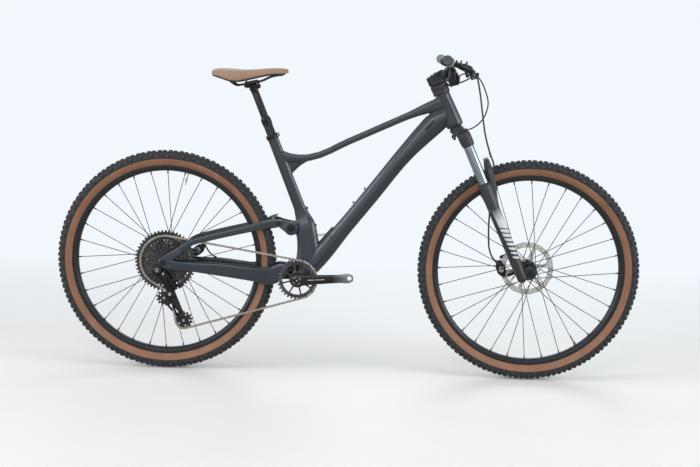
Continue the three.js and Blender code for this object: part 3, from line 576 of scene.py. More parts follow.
def tan_wall():
    """Caramel casing with faint cords and scuffs."""
    look = Look("tan_wall", 0.62)
    tone = look.between(look.noise(22, 5), 0.3, 0.72)
    out = look.mix(tone, (0.26, 0.118, 0.064), (0.36, 0.172, 0.098))
    fine = look.between(look.noise(620, 2), 0.4, 0.7, 0, 0.35)
    out = look.mix(fine, out, (0.19, 0.088, 0.048))
    return look.finish(out, look.between(tone, 0, 1, 0.55, 0.7), look.noise(1500, 2), 0.14)


def brushed_disc(name, centre, color):
    """Steel turned round an axis, with a dulled braking track."""
    look = Look(name, 0.36, 0.45)
    reach = look.radius(centre)
    lines = look.node("TexNoise", {"W": reach, "Scale": 2600, "Detail": 2}, noise_dimensions="1D").outputs["Fac"]
    patch = look.between(look.noise(45, 3), 0.3, 0.7)
    out = look.mix(lines, [c * 0.8 for c in color], color)
    out = look.mix(look.math("MULTIPLY", patch, 0.25), out, [c * 0.62 for c in color])
    return look.finish(out, look.between(lines, 0.2, 0.8, 0.24, 0.44), lines, 0.1)


def stanchion_metal():
    look = Look("stanchion", 0.22, 0.85, 0.1, 0.1)
    tone = look.between(look.noise(12, 2), 0.3, 0.7)
    out = look.mix(tone, (0.30, 0.36, 0.40), (0.38, 0.44, 0.48))
    fine = look.noise(900, 2, (1, 1, 0.05))
    return look.finish(out, look.between(fine, 0.3, 0.7, 0.19, 0.27), fine, 0.02)


def leather(name, dark, light):
    """Grained microfibre."""
    look = Look(name, 0.6)
    cells = look.node("TexVoronoi", {"Vector": look.place, "Scale": 950}).outputs["Distance"]
    tone = look.between(look.noise(18, 4), 0.3, 0.7)
    out = look.mix(tone, dark, light)
    out = look.mix(look.between(cells, 0.15, 0.5, 0.0, 0.3), out, [c * 0.6 for c in dark])
    look.shader.inputs["Sheen Weight"].default_value = 0.15
    return look.finish(out, look.between(tone, 0, 1, 0.52, 0.66), cells, 0.3)


def crank_metal():
    """Black anodising that fades to grey towards the tips."""
    look = Look("crank", 0.32, 0.55, 0.1)
    reach = look.radius(BB)
    tone = look.between(look.noise(40, 3), 0.3, 0.7)
    black = look.mix(tone, (0.016, 0.017, 0.019), (0.028, 0.029, 0.032))
    grey = look.mix(tone, (0.2, 0.205, 0.215), (0.28, 0.285, 0.295))
    out = look.mix(look.between(reach, 0.118, 0.158, 0, 0.85), black, grey)
    rub = look.math("MULTIPLY", look.edges(), look.between(look.noise(200), 0.4, 0.6, 0, 0.5))
    out = look.mix(rub, out, (0.3, 0.3, 0.31))
    return look.finish(out, look.between(tone, 0, 1, 0.26, 0.38), look.noise(1600, 2), 0.04)


FRAME_PAINT = painted_frame()
FORK_PAINT = painted_fork()
TAN = tan_wall()
STANCHION = stanchion_metal()
CRANK = crank_metal()
FRONT_DISC = brushed_disc("front_disc", FRONT, (0.80, 0.78, 0.72))
REAR_DISC = brushed_disc("rear_disc", REAR, (0.78, 0.76, 0.70))
TREAD = shaded(
    "tread", (0.022, 0.023, 0.025), 0.78, vary=0.25, patch=70, grain=900, depth=0.3, worn=(0.075, 0.075, 0.078),
    wear=0.55
)
RUBBER = shaded("rubber", (0.022, 0.023, 0.025), 0.7, vary=0.15, depth=0.15)
RIM = shaded("rim", (0.018, 0.019, 0.021), 0.38, 0.3, vary=0.1, patch=18, depth=0.05, coat=0.15)
BLACK = shaded("black_metal", (0.017, 0.018, 0.02), 0.36, 0.55, patch=60, depth=0.06, worn=(0.2, 0.2, 0.21), wear=0.3)
COCKPIT = shaded("cockpit", (0.027, 0.029, 0.033), 0.5, 0.25, patch=40, depth=0.1)
CROWN = shaded("crown", (0.032, 0.034, 0.038), 0.5, 0.1, patch=40, depth=0.12)
PLASTIC = shaded("plastic", (0.02, 0.021, 0.023), 0.55, vary=0.12, depth=0.16)
HOSE = shaded("hose", (0.022, 0.023, 0.025), 0.42, vary=0.1, depth=0.04)
STEEL = shaded("steel", (0.55, 0.55, 0.56), 0.24, 1.0, vary=0.08, grain=2600, depth=0.06)
CHAIN = shaded(
    "chain_metal", (0.50, 0.455, 0.37), 0.28, 1.0, vary=0.12, grain=1800, depth=0.05, worn=(0.75, 0.72, 0.66),
    wear=0.6
)
CASSETTE = shaded(
    "cassette_steel", (0.035, 0.035, 0.038), 0.3, 0.85, vary=0.2, depth=0.06, worn=(0.42, 0.42, 0.42), wear=0.5
)
RING = shaded(
    "chainring_metal", (0.022, 0.022, 0.024), 0.4, 0.5, vary=0.15, depth=0.07, worn=(0.45, 0.45, 0.45), wear=0.6
)
GRIP = shaded("grip", (0.26, 0.245, 0.215), 0.78, vary=0.12, patch=60, grain=1100, depth=0.3)
GREY = shaded("grey_trim", (0.2, 0.205, 0.21), 0.45, 0.3, vary=0.08, depth=0.06)
PALE = shaded("pale_trim", (0.5, 0.51, 0.52), 0.4, 0.4, vary=0.06, depth=0.05)
SKIN = leather("saddle_skin", (0.42, 0.285, 0.20), (0.52, 0.365, 0.265))
SKIN_DARK = leather("saddle_panel", (0.35, 0.205, 0.125), (0.44, 0.275, 0.175))

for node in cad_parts.values():
    node.data.materials.clear()
    node.data.materials.append(BLACK)
for bearing in ("headset_bearing_lower", "headset_bearing_upper", "shock_shaft"):
    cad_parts[bearing].data.materials[0] = STEEL


# ---------------------------------------------------------------- wheels
def knob(r, y, lean, length, width, height, kind=0):
    """A tread block at the top of a wheel, leaning sideways with the casing."""
    base, top = (length / 2, width / 2), (length / 2 - 0.9, width / 2 - 0.8)
    verts = []
    for (half_l, half_w), h in ((base, -2.5), (base, height * 0.55), (top, height)):
        verts += [(sx * half_l, sy * half_w, h) for sx, sy in ((-1, -1), (1, -1), (1, 1), (-1, 1))]
    faces = [(3, 2, 1, 0), (8, 9, 10, 11)]
    for level in (0, 4):
        faces += [(level + k, level + (k + 1) % 4, level + 4 + (k + 1) % 4, level + 4 + k) for k in range(4)]
    place = Matrix.Translation((0, y, r)) @ Matrix.Rotation(-radians(lean), 4, "X")
    return moved((verts, faces, kind), place)


def tyre(name, centre, body):
    half = [
        (311.5, 13.2), (317, 14.2), (320.5, 16.3), (326, 20.6), (334, 25), (342, 27.4), (350, 27.4), (357, 24),
        (362.2, 18), (365, 10)
    ]
    line = smooth([(r, h, 0) for r, h in half] + [(365.8, 0, 0)] + [(r, -h, 0) for r, h in half[::-1]], 3)[:, :2]
    inner = [(r - 2.5, h * 0.86) for r, h in line[::-1]]
    profile = [tuple(p) for p in line] + inner
    verts, faces, _ = turned(profile, centre, 160, 0)
    band, tread = [], []
    for face in faces:
        mid = sum((Vector(verts[i]) for i in face), Vector()) / len(face)
        r = hypot(mid.x - centre[0], mid.z - centre[1])
        (band if 319.6 < r < 341.9 and abs(mid.y) > 14 else tread).append(face)
    shapes = [(verts, tread, 0), (verts, band, 1)]
    count = 62
    top = Matrix.Translation((centre[0], 0, centre[1]))
    blocks = []
    for side in (-1, 1):
        for k, (r, y, lean, length, width, height) in enumerate(
            (
                (350.0, 26.2, 76, 13, 8, 2.6), (355.2, 24.4, 58, 11, 9, 4.2), (362.8, 14.6, 24, 12, 8, 4.3),
                (365.6, 5.4, 5, 13, 7, 4.3)
            )
        ):
            turn = (0.0, 0.5, 0.25, 0.72)[k] + (0.5 if side > 0 and k == 3 else 0)
            block = moved(knob(r, side * y, side * lean, length, width, height), top)
            blocks += spun(block, centre, count, tau * turn / count)
    for side in (-1, 1):
        edge = moved(knob(352.6, side * 27.2, side * 70, 7, 4, 3.2), top)
        blocks += spun(edge, centre, count, tau * 0.5 / count)
    return piece(name, shapes + blocks, [TREAD, TAN], body, [name])


def wheel(end, centre, flanges):
    """Rim, tyre, spokes, nipples and valve of one wheel."""
    body = end + "_wheel"
    place = Matrix.Translation((centre[0], 0, centre[1]))
    tyre(end + "_tyre", centre, body)
    half = [(301, 6), (304, 12.5), (309, 16), (320.6, 17.2), (321, 14.6), (311.2, 14.4), (310, 11)]
    profile = half + [(309, 0)] + [(r, -h) for r, h in half[::-1]]
    shapes = [turned(profile, centre, 160, 1.2)]
    piece(end + "_rim", shapes, RIM, body, [end + "_rim"])

    spokes, nipples = [], []
    for i in range(32):
        side, lead = (1 if i % 2 else -1), (1 if i // 2 % 2 else -1)
        rim_angle = tau * i / 32
        hub_angle = rim_angle + lead * radians(72)
        r, flange = flanges[0 if side < 0 else 1]
        foot = Vector(
            (r * cos(hub_angle), flange - side * 2.0 * (lead < 0) + side * 2.0 * (lead > 0), r * sin(hub_angle))
        )
        head = Vector((302.5 * cos(rim_angle), side * 3, 302.5 * sin(rim_angle)))
        away = (head - foot).normalized()
        elbow = foot + Vector((0, -lead * side * 2.4, 0))
        spokes.append(sweep([elbow, foot, foot + away * 4, foot + away * 40, head], 1.2, 8, 3))
        nipples.append(rod(head - away * 11, head + away * 1.5, 2.3, 10, 0.4, kind=1))
    shapes = [moved(s, place) for s in spokes + nipples]
    piece(end + "_spokes", shapes, [BLACK, BLACK], body)
    stem = [
        rod((0, 0, 270), (0, 0, 303), 2.9, 16), rod((0, 0, 298), (0, 0, 302), 5, 20),
        rod((0, 0, 262), (0, 0, 272), 2.3, 16)
    ]
    angle = radians({"rear": 77, "front": -55}[end])
    turn = Matrix.Rotation(pi / 2 - angle, 4, "Y")
    piece(end + "_valve", [moved(s, place @ turn) for s in stem], STEEL, body)


SPOT = {"front": FRONT, "rear": REAR}
wheel("front", FRONT, ((25, -27.5), (25, 25.5)))
wheel("rear", REAR, ((25.5, -20.5), (25.5, 34.5)))


def hub(end, profile, flanges, caps):
    centre = SPOT[end]
    shapes = [turned(profile, centre, 56, 1.4)]
    for y0, y1, r in flanges:
        holes = [circle(polar(centre, r - 4, a), 1.4, 10) for a in [tau * k / 16 for k in range(16)]]
        shapes.append(plate(circle(centre, r, 64), holes + [circle(centre, 10, 24)], y0, y1, 0.6))
    for y0, y1, r in caps:
        shapes.append(pin(centre, y0, y1, r, 40, 0.8, kind=1, inner=8.4))
    piece(end + "_hub", shapes, [BLACK, COCKPIT], end + "_wheel", [end + "_hub"])


hub(
    "front",
    [
        (8.2, -54.4), (10, -54.4), (10.5, -38), (17, -31), (15, -24), (14, 0), (15, 22), (18, 29), (17.4, 44.4),
        (10, 46), (10, 54.4), (8.2, 54.4)
    ],
    ((-29.5, -25.5, 28.5), (23.5, 27.5, 28.5)), ((-54.5, -49, 11.5), (49, 54.5, 11.5))
)
hub(
    "rear",
    [
        (6.8, -29.3), (17, -29.3), (18, -24), (16, -16), (14.5, 6), (16, 29), (18, 38), (17.2, 59.4), (10, 61),
        (10, 73.4), (6.8, 73.4)
    ],
    ((-22.5, -18.5, 29), (32.5, 36.5, 28.5)), ((66, 73.5, 11),)
)


def rotor(end, r, y, look):
    """A scalloped brake disc on a six-armed carrier, with a slotted track."""
    centre = SPOT[end]
    edge = [polar(centre, r - 0.9 + 0.9 * cos(18 * a), a) for a in [tau * k / 360 for k in range(360)]]
    holes = [circle(centre, 17.6, 48)] + windows(centre, r - 18.5, 31, 6, 5.4, 0.2, 5)
    for i in range(36):
        a = tau * i / 36
        reach = r - 8.6 + (3.4, -3.2, 0.2)[i % 3]
        spot = polar(centre, reach, a)
        holes.append(strap(polar(spot, -1.2, a + 0.9), 1.21, polar(spot, 1.2, a + 0.9), 1.2, 6))
    for i in range(6):
        a = 0.2 + tau * i / 6
        holes.append(circle(polar(centre, 36, a), 1.7, 10))
    shapes = [plate(edge, holes, y, y + 1.8, 0.2)]
    lock = [turned([(13, y - 2), (21.5, y - 2), (21.5, y + 3.6), (13, y + 3.6)], centre, 32, 0.7, kind=1)]
    lock += spun(
        moved(knob(21, y + 0.9, 0, 2.4, 4.4, 1.6, 1), Matrix.Translation((centre[0], 0, centre[1]))), centre, 16
    )
    piece(end + "_rotor", shapes + lock, [look, BLACK], end + "_wheel", [end + "_rotor"])


rotor("front", 90, 41.5, FRONT_DISC)
rotor("rear", 80, 56, REAR_DISC)


# ---------------------------------------------------------------- drivetrain
def cassette():
    shapes = []
    for i, teeth in enumerate(COGS):
        y = COG_Y - i * COG_STEP
        r = pitch_radius(teeth)
        bore = 17.2 if teeth > 13 else 15
        cuts = [circle(REAR, bore, 32)]
        if teeth >= 28:
            cuts += windows(
                REAR, r - (15 if teeth > 45 else 9.5), max(r - 24, 27), 8 if teeth > 30 else 6, 3, 0.3 * i, 3
            )
        if teeth >= 42:
            cuts += windows(REAR, r - 30, 30, 8, 4, 0.3 * i + 0.2, 4)
        shapes.append(plate(gear(REAR, teeth, r - 3.6, r + 3.2, 0.11 * i), cuts, y - 0.9, y + 0.9, 0.25))
    shapes.append(
        turned(
            [(6.8, -29.9), (17, -29.9), (17.4, -60), (14.5, -62), (14.5, -72.6), (11, -73.4), (6.8, -73.4)], REAR,
            40, 0.5
        )
    )
    shapes.append(turned([(9, -72), (13, -72), (13.6, -74.4), (9, -74.4)], REAR, 32, 0.4))
    return piece("cassette", shapes, CASSETTE, "sprockets", ["cassette"])


cassette()


def chain_route():
    """The pitch line: arcs round the four wheels and straight runs between them."""
    stops = [
        (BB, pitch_radius(32), 1, CHAIN_Y_FRONT), (TENSION, pitch_radius(14), 1, CHAIN_Y_REAR),
        (GUIDE, pitch_radius(12), -1, CHAIN_Y_REAR), (REAR, pitch_radius(42), 1, CHAIN_Y_REAR),
    ]
    headings = []
    for i, (spot, r, turn, _) in enumerate(stops):
        nxt, r2, turn2, _ = stops[(i + 1) % 4]
        slip = asin((turn * r - turn2 * r2) / hypot(nxt[0] - spot[0], nxt[1] - spot[1]))
        headings.append(atan2(nxt[1] - spot[1], nxt[0] - spot[0]) - slip)
    route = []
    for i, (spot, r, turn, y) in enumerate(stops):
        arriving = headings[i - 1]
        swing = headings[i] - arriving
        while turn * swing > 0:
            swing -= turn * tau
        for k in range(61):
            a = arriving + swing * k / 60
            route.append((spot[0] - turn * r * sin(a), y, spot[1] + turn * r * cos(a), i))
    return route


def chain():
    """Rollers and plates one pitch apart, in three lengths; the length round the cage goes with the cage."""
    route = chain_route()
    places = np.array([p[:3] for p in route + route[:1]])
    owner = [p[3] for p in route]
    reach = np.concatenate([[0], np.cumsum(np.linalg.norm(np.diff(places, axis=0), axis=1))])
    links = 2 * round(reach[-1] / PITCH / 2)
    at = np.linspace(0, reach[-1], links + 1)
    pins = np.array([np.interp(at, reach, places[:, k]) for k in range(3)]).T
    lengths = {"chain_upper": [], "chain_cage": [], "chain_lower": []}
    for i in range(links):
        a, b = Vector(pins[i]), Vector(pins[i + 1])
        j = min(int(np.searchsorted(reach, at[i], side="right")) - 1, len(owner) - 1)
        here, there = owner[j], owner[(j + 1) % len(owner)]
        if here == 1 or (here == 2 and j < 2 * 61 + 20):
            group = "chain_cage"
        elif here == 0 and there == 1:
            group = "chain_lower"
        else:
            group = "chain_upper"
        wide = i % 2
        offsets = (1.75, 2.5) if wide else (0.95, 1.7)
        middle = (a + b) / 2
        angle = atan2(b.z - a.z, b.x - a.x)
        yaw = atan2(b.y - a.y, hypot(b.x - a.x, b.z - a.z))
        place = Matrix.Translation(middle) @ Matrix.Rotation(-angle, 4, "Y") @ Matrix.Rotation(yaw, 4, "Z")
        half = (b - a).length / 2
        outline = strap((-half, 0), 3.801, (half, 0), 3.8, 8)
        waist = [
            (x, z * (0.72 if abs(x) < 2.4 else 1))
            for x, z in outline[:9] + [(0, -3.8)] + outline[9:] + [(0, 3.8)]
        ]
        for sign in (-1, 1):
            shape = plate(waist, [], sign * offsets[0], sign * offsets[1], 0.15)
            lengths[group].append(moved(shape, place))
        if not wide:
            lengths[group].append(moved(rod((-half, -2.7, 0), (-half, 2.7, 0), 1.8, 10, 0.2), place))
            lengths[group].append(moved(rod((half, -2.7, 0), (half, 2.7, 0), 1.8, 10, 0.2), place))
        lengths[group].append(moved(rod((-half, -0.9, 0), (-half, 0.9, 0), 3.6, 12, 0.2), place))
    for name, shapes in lengths.items():
        obj = piece(name, shapes, CHAIN, None if name != "chain_cage" else "cage", ["chain"])
        if name != "chain_cage":
            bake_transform(obj)


chain()


def pulley(name, centre, teeth, body):
    r = pitch_radius(teeth)
    y = CHAIN_Y_REAR
    cuts = [circle(centre, 3.3, 16)] + [
        circle(polar(centre, r - 9, a), 2.6, 12)
        for a in (tau * k / 5 for k in range(5))
    ]
    shapes = [plate(gear(centre, teeth, r - 3.4, r + 2.6), cuts, y - 1.1, y + 1.1, 0.25)]
    shapes.append(turned([(3.3, y - 2.8), (7.5, y - 2.8), (7.5, y + 2.8), (3.3, y + 2.8)], centre, 32, 0.5, kind=1))
    piece(name, shapes, [PLASTIC, STEEL], body, [name])


pulley("guide_pulley", GUIDE, 12, "guide_wheel")
pulley("tension_pulley", TENSION, 14, "tension_wheel")


def derailleur():
    y = CHAIN_Y_REAR
    mid = ((GUIDE[0] + TENSION[0]) / 2, (GUIDE[1] + TENSION[1]) / 2)
    lean = atan2(TENSION[1] - GUIDE[1], TENSION[0] - GUIDE[0])
    slot = [
        (mid[0] + u * cos(lean) - v * sin(lean), mid[1] + u * sin(lean) + v * cos(lean))
        for u, v in ((-20, -4.5), (18, -3.5), (18, 3.5), (-20, 4.5))
    ]
    shapes = [plate(strap(GUIDE, 12.5, TENSION, 10.5), [fillet(slot, 3)], y + 3.4, y + 5, 0.4)]
    outer = strap(CAGE_PIVOT, 15.5, TENSION, 10.5)
    low = [
        (mid[0] + 8 + u * cos(lean) - v * sin(lean), mid[1] - 2 + u * sin(lean) + v * cos(lean))
        for u, v in ((-14, -5), (14, -3.5), (14, 3.5), (-14, 6))
    ]
    shapes.append(plate(outer, [fillet(low, 3)], y - 5, y - 3.4, 0.4))
    shapes.append(plate(strap(CAGE_PIVOT, 14, GUIDE, 9.5), [], y - 4.9, y - 3.5, 0.4))
    for spot in (GUIDE, TENSION):
        shapes.append(bolt((spot[0], y - 5, spot[1]), (0, -1, 0), 4.6, 2.2, kind=1))
        shapes.append(pin(spot, y - 5, y + 5, 3, 16, kind=1))
    piece("derailleur_cage", shapes, [BLACK, STEEL], "cage", ["derailleur_cage"])

    shapes = [
        turned([(0, y - 5.4), (17, y - 5.4), (17.2, -52), (15, -61), (9, -63), (0, -63)], CAGE_PIVOT, 44, 1.5),
        skin(
            [(-586, -55, 268, 9, 8), (-594, -66, 288, 10, 8), (-606, -80, 312, 10, 7), (-618, -88, 332, 9, 6)], 20,
            power=0.6
        ),
        skin(
            [(-572, -52, 276, 7, 5), (-582, -64, 298, 7, 5), (-596, -77, 322, 7, 5), (-610, -87, 344, 7, 5)], 20,
            power=0.6
        ),
        skin([(-624, -92, 330, 13, 6), (-629, -93, 342, 15, 6), (-632, -93, 356, 11, 5)], 24, power=0.7, cap=3),
        turned([(0, -84.6), (14.5, -84.6), (15, -94), (11, -98.5), (0, -98.5)], (-626, 347), 44, 1.5),
        rod((-606, -88, 334), (-606, -94, 334), 4.5, 20, kind=1),
        bolt((-626, -98, 347), (0, -1, 0), 7, 1.8, kind=1),
        bolt((CAGE_PIVOT[0], -63, CAGE_PIVOT[1]), (0, -1, 0), 6, 1.6, kind=1),
        rod((-560, -54, 282), (-548, -54, 290), 3.4, 16)
    ]
    piece("derailleur_body", shapes, [BLACK, STEEL], "rear_arm", ["derailleur_body"])


derailleur()


def crank_point(side, along):
    tilt = 0.078 + (0 if side < 0 else pi)
    return polar(BB, along, tilt)


def crankset():
    r = pitch_radius(32)
    holes = [circle(BB, 15.3, 40)] + windows(BB, 50.5, 27, 8, 2.6, 0.25, 4)
    ring_shapes = [plate(gear(BB, 32, r - 3.7, r + 3.6), holes, CHAIN_Y_FRONT - 1.7, CHAIN_Y_FRONT + 1.7, 0.45)]
    piece("chainring", ring_shapes, RING, "crank", ["chainring"])
    for name, side in SIDES.items():
        def at(along, y, depth, width):
            x, z = crank_point(side, along)
            return x, side * y, z, depth, width
        eye = crank_point(side, 175)
        arm = skin(
            [
                at(-19, 66, 9, 7), at(-8, 67, 18.5, 9), at(12, 68, 19, 9), at(32, 70, 17.5, 8), at(85, 74.5, 15, 7),
                at(145, 78, 14, 6.2), at(176, 79, 14.5, 6), at(187.5, 79, 9, 5.4)
            ],
            32, power=0.62, steps=5, cap=2.6
        )
        mesh = mesh_of("arm", [arm])
        mesh = carved(mesh, [bore(eye, 7.2, 95, 32)])
        piece("crank_arm_" + name, mesh, CRANK, "crank", ["crank_arm_" + name])
        details = [
            pin(eye, side * 72.6, side * 85.4, 9.2, 32, 0.5, inner=7.2),
            turned([(0, side * 77.4), (9, side * 77.4), (10.5, side * 78.6), (0, side * 78.6)], BB, 32, 0.3, kind=2),
            turned([(0, side * 78), (2.6, side * 78), (2.6, side * 79), (0, side * 79)], BB, 20, 0.2, kind=1),
        ]
        trim = []
        for start, end in ((36, 58), (62, 92)):
            y0 = 70 + 0.072 * (start - 32)
            p, q = crank_point(side, start), crank_point(side, end)
            trim.append(
                sweep(
                    [
                        (p[0], side * (y0 + 7.9), p[1]), ((p[0] + q[0]) / 2, side * (y0 + 8.2), (p[1] + q[1]) / 2),
                        (q[0], side * (y0 + 7.9 + 0.055 * (end - start)), q[1])
                    ],
                    1.5, 8, 3, kind=1
                )
            )
        for k in range(4):
            a = tau * (k + 0.12) / 4
            trim.append(
                sweep(
                    [
                        (BB[0] + 12.4 * cos(a + t), side * 78.0, BB[1] + 12.4 * sin(a + t))
                        for t in (0, 0.3, 0.6, 0.9)
                    ],
                    1.1, 8, 3, kind=1
                )
            )
        piece(
            "crank_trim_" + name, details + (trim if side < 0 else trim[2:]), [STEEL, PALE, BLACK], "crank",
        )
    spindle = [pin(BB, -60, 60, 14.4, 40), turned([(14.4, -60), (22, -60), (24, -55.5), (14.4, -55.5)], BB, 40, 0.6)]
    piece("spindle", spindle, BLACK, "crank")
    cups = [pin(BB, s * 45.4, s * 48, 23, 48, 0.7, inner=15) for s in (-1, 1)]
    piece("bottom_bracket", cups, BLACK, "frame", ["bottom_bracket"])


crankset()


# ---------------------------------------------------------------- frame
# Sections in (across, up) units: a tube with a ridge along each side, and a flat-sided one.
RIDGED = [(0.5, 1), (0.98, 0.22), (0.9, -0.5), (0.55, -1), (-0.55, -1), (-0.9, -0.5), (-0.98, 0.22), (-0.5, 1)]
SLAB = [(0.66, 1), (1, 0.55), (1, -0.6), (0.66, -1), (-0.66, -1), (-1, -0.6), (-1, 0.55), (-0.66, 1)]


def front_triangle():
    head = moved(
        skin(
            [
                (0, 0, 543, 28, 27), (0, 0, 549, 28.5, 27), (1, 0, 570, 27, 26), (2, 0, 600, 24.5, 24.5),
                (1, 0, 632, 24, 24), (0, 0, 654, 24.5, 24)
            ],
            section=[
                (0.42, 1), (0.95, 0.42), (0.95, -0.42), (0.42, -1), (-0.42, -1), (-0.95, -0.42), (-0.95, 0.42),
                (-0.42, 1)
            ],
            cap=1
        ),
        STEER
    )
    seat_tube = moved(
        skin(
            [(0, 0, -112, 19, 18), (0, 0, 20, 18, 18), (0, 0, 90, 17.5, 17.5), (0, 0, 160, 17.5, 17.5)],
            section=SLAB, cap=1
        ),
        SEAT
    )
    top = skin(
        [
            (-232, 0, 735, 17, 17), (-206, 0, 727, 16, 17.5), (-172, 0, 725, 13, 18), (-131, 0, 729, 11.5, 19),
            (0, 0, 787, 11, 21), (120, 0, 843, 11.5, 21), (205, 0, 882, 13, 21), (262, 0, 906, 19, 21),
            (306, 0, 922, 24, 20)
        ],
        section=SLAB
    )
    gusset = skin([(-206, 0, 700, 33, 11), (-170, 0, 715, 17, 11), (-128, 0, 731, 8, 9)], section=SLAB)
    down = skin(
        [
            (328, 0, 886, 24, 22), (286, 0, 858, 35, 25), (246, 0, 818, 33, 27), (195, 0, 762, 28, 29),
            (73, 0, 605, 26.5, 31), (-22, 0, 484, 27, 33), (-84, 0, 406, 31, 36), (-128, 0, 352, 27, 38),
            (-156, 0, 324, 20, 38)
        ],
        section=RIDGED
    )
    housing = skin(
        [
            (-168, 0, 572, 17, 17), (-152, 0, 530, 25, 20), (-143, 0, 500, 33, 26), (-134, 0, 455, 35, 29),
            (-130, 0, 405, 38, 31), (-136, 0, 362, 38, 33), (-156, 0, 326, 20, 34)
        ],
        section=SLAB
    )
    shell = turned([(0, -45), (24.5, -45), (24.5, 45), (0, 45)], BB, 48, 0.6)
    lug = turned([(0, -28), (17, -28), (17, 28), (0, 28)], PIVOT, 40, 0.6)
    web = skin([(-186, 0, 364, 15, 28), (-150, 0, 362, 15, 28)], power=0.4)
    shapes = [head, seat_tube, top, gusset, down, housing, shell, lug, web]
    for side in (-1, 1):
        shapes.append(turned([(0, side * 11.5), (20, side * 11.5), (20, side * 21), (0, side * 21)], LINK, 40, 1))
        shapes.append(
            skin(
                [
                    (-192, side * 16.2, 489, 17, 4.8), (-166, side * 16.2, 492, 24, 4.8),
                    (-148, side * 16.2, 494, 27, 4.8)
                ],
                24, power=0.6
            )
        )
    mesh = fused(shapes, 1.7, 4)
    steer_bore = [(0, 530), (25.4, 530), (25.4, 552), (20.4, 552.2), (20.4, 645), (21, 645.2), (21, 670), (0, 670)]
    cutters = [
        moved(lathe(steer_bore, 48, 0), STEER),
        moved(rod((0, 0, -30), (0, 0, 175), 15.8, 48, 0.6), SEAT),
        bore(BB, 20.6, 60, 48),
        bore(PIVOT, 7.6, 60, 32),
        bore(LINK, 14, 60, 48),
        moved(rod((0, 0, 10), (0, 0, 112), 25, 48, 0), SHOCK),
        moved(rod((0, 0, -13), (0, 0, 20), 14.2, 32, 0), SHOCK),
        plate(box2(-232, -114, 452, 530, 6), [], -11.6, 11.6, 0.5),
    ]
    mesh = carved(mesh, cutters)
    piece("front_triangle", mesh, FRAME_PAINT, "frame", ["front_triangle"], crease=28)
    seams = []
    tree = BVHTree.FromPolygons([v.co for v in mesh.vertices], [p.vertices[:] for p in mesh.polygons])
    for line in (
        [(-122, 449), (-108, 463), (-86, 471), (-62, 473)], [(-59, 473), (-50, 462), (-40, 446), (-30, 426)],
        [(-196, 548), (-190, 520), (-186, 502)], [(-124, 455), (-126, 476), (-121, 492)],
        [(266, 900), (240, 886), (214, 876)], [(322, 928), (332, 900), (346, 866), (354, 846)],
    ):
        for side in (-1, 1):
            run = []
            for x, _, z in smooth([(x, 0, z) for x, z in line], 6):
                hit = tree.ray_cast(Vector((x, side * 300, z)) * MM, Vector((0, -side, 0)))[0]
                if hit is not None:
                    run.append(hit / MM + Vector((0, side * 0.1, 0)))
            if len(run) > 2:
                seams.append(sweep(run, 1.0, 8, 1))
    piece("frame_seams", seams, RUBBER, "frame")


front_triangle()


def frame_details():
    guard = skin(
        [
            (-30, 0, 480, 27.6, 25), (-52, 0, 451, 29.4, 30), (-84, 0, 407, 32.2, 33), (-112, 0, 372, 31, 35),
            (-130, 0, 351, 28, 35)
        ],
        section=[(0.98, 0.0), (0.93, -0.5), (0.58, -1.03), (-0.58, -1.03), (-0.93, -0.5), (-0.98, 0.0)], steps=5,
        cap=1
    )
    guard = carved(mesh_of("guard", [guard]), [moved(rod((0, 0, -14), (0, 0, 112), 24.6, 48, 0), SHOCK)])
    piece("downtube_guard", guard, PLASTIC, "frame")
    bolts = [
        bolt((x, 0, z), toward, 4.6, 2.2)
        for x, z, toward in (
            (53.5, 629, (-0.78, 0, 0.62)), (16.6, 582, (-0.78, 0, 0.62)), (-137.6, 559.2, (0.92, 0, 0.37)),
            (-107.5, 502.0, (0.92, 0, 0.37))
        )
    ]
    piece("bottle_bolts", bolts, BLACK, "frame")
    ports = []
    for side in (-1, 1):
        ports.append(
            skin(
                [(276, side * 22.5, 862, 4, 2.4), (262, side * 24.6, 846, 5, 2.8), (250, side * 25.4, 832, 4, 2.2)],
                20, power=0.7, cap=1
            )
        )
    piece("cable_ports", ports, PLASTIC, "frame")
    caps = []
    for side in (-1, 1):
        caps.append(
            turned(
                [
                    (0, side * 41.4), (10.5, side * 41.4), (11.5, side * 44.8), (7, side * 45.6), (6, side * 44.2),
                    (0, side * 44.2)
                ],
                PIVOT, 40, 0.5
            )
        )
    piece("pivot_caps", caps + [pin(PIVOT, -42, 42, 6.8, 32)], BLACK, "frame", ["pivot_axle"])
    clamp = [lathe([(17.9, 148), (20.4, 148), (21, 151), (21, 160), (20.4, 163), (17.9, 163)], sides=64, ease=0.8)]
    clamp.append(moved(plate(box2(16, 25, 149.5, 161.5, 2.5), [], -7, -0.9, 0.6), WORLD))
    clamp.append(moved(plate(box2(16, 25, 149.5, 161.5, 2.5), [], 0.9, 7, 0.6), WORLD))
    clamp.append(bolt((20.8, -7, 155.5), (0, -1, 0), 3.4, 2, kind=1))
    piece("seat_clamp", clamp, [BLACK, STEEL], "frame", ["seat_clamp"], place=SEAT)


frame_details()


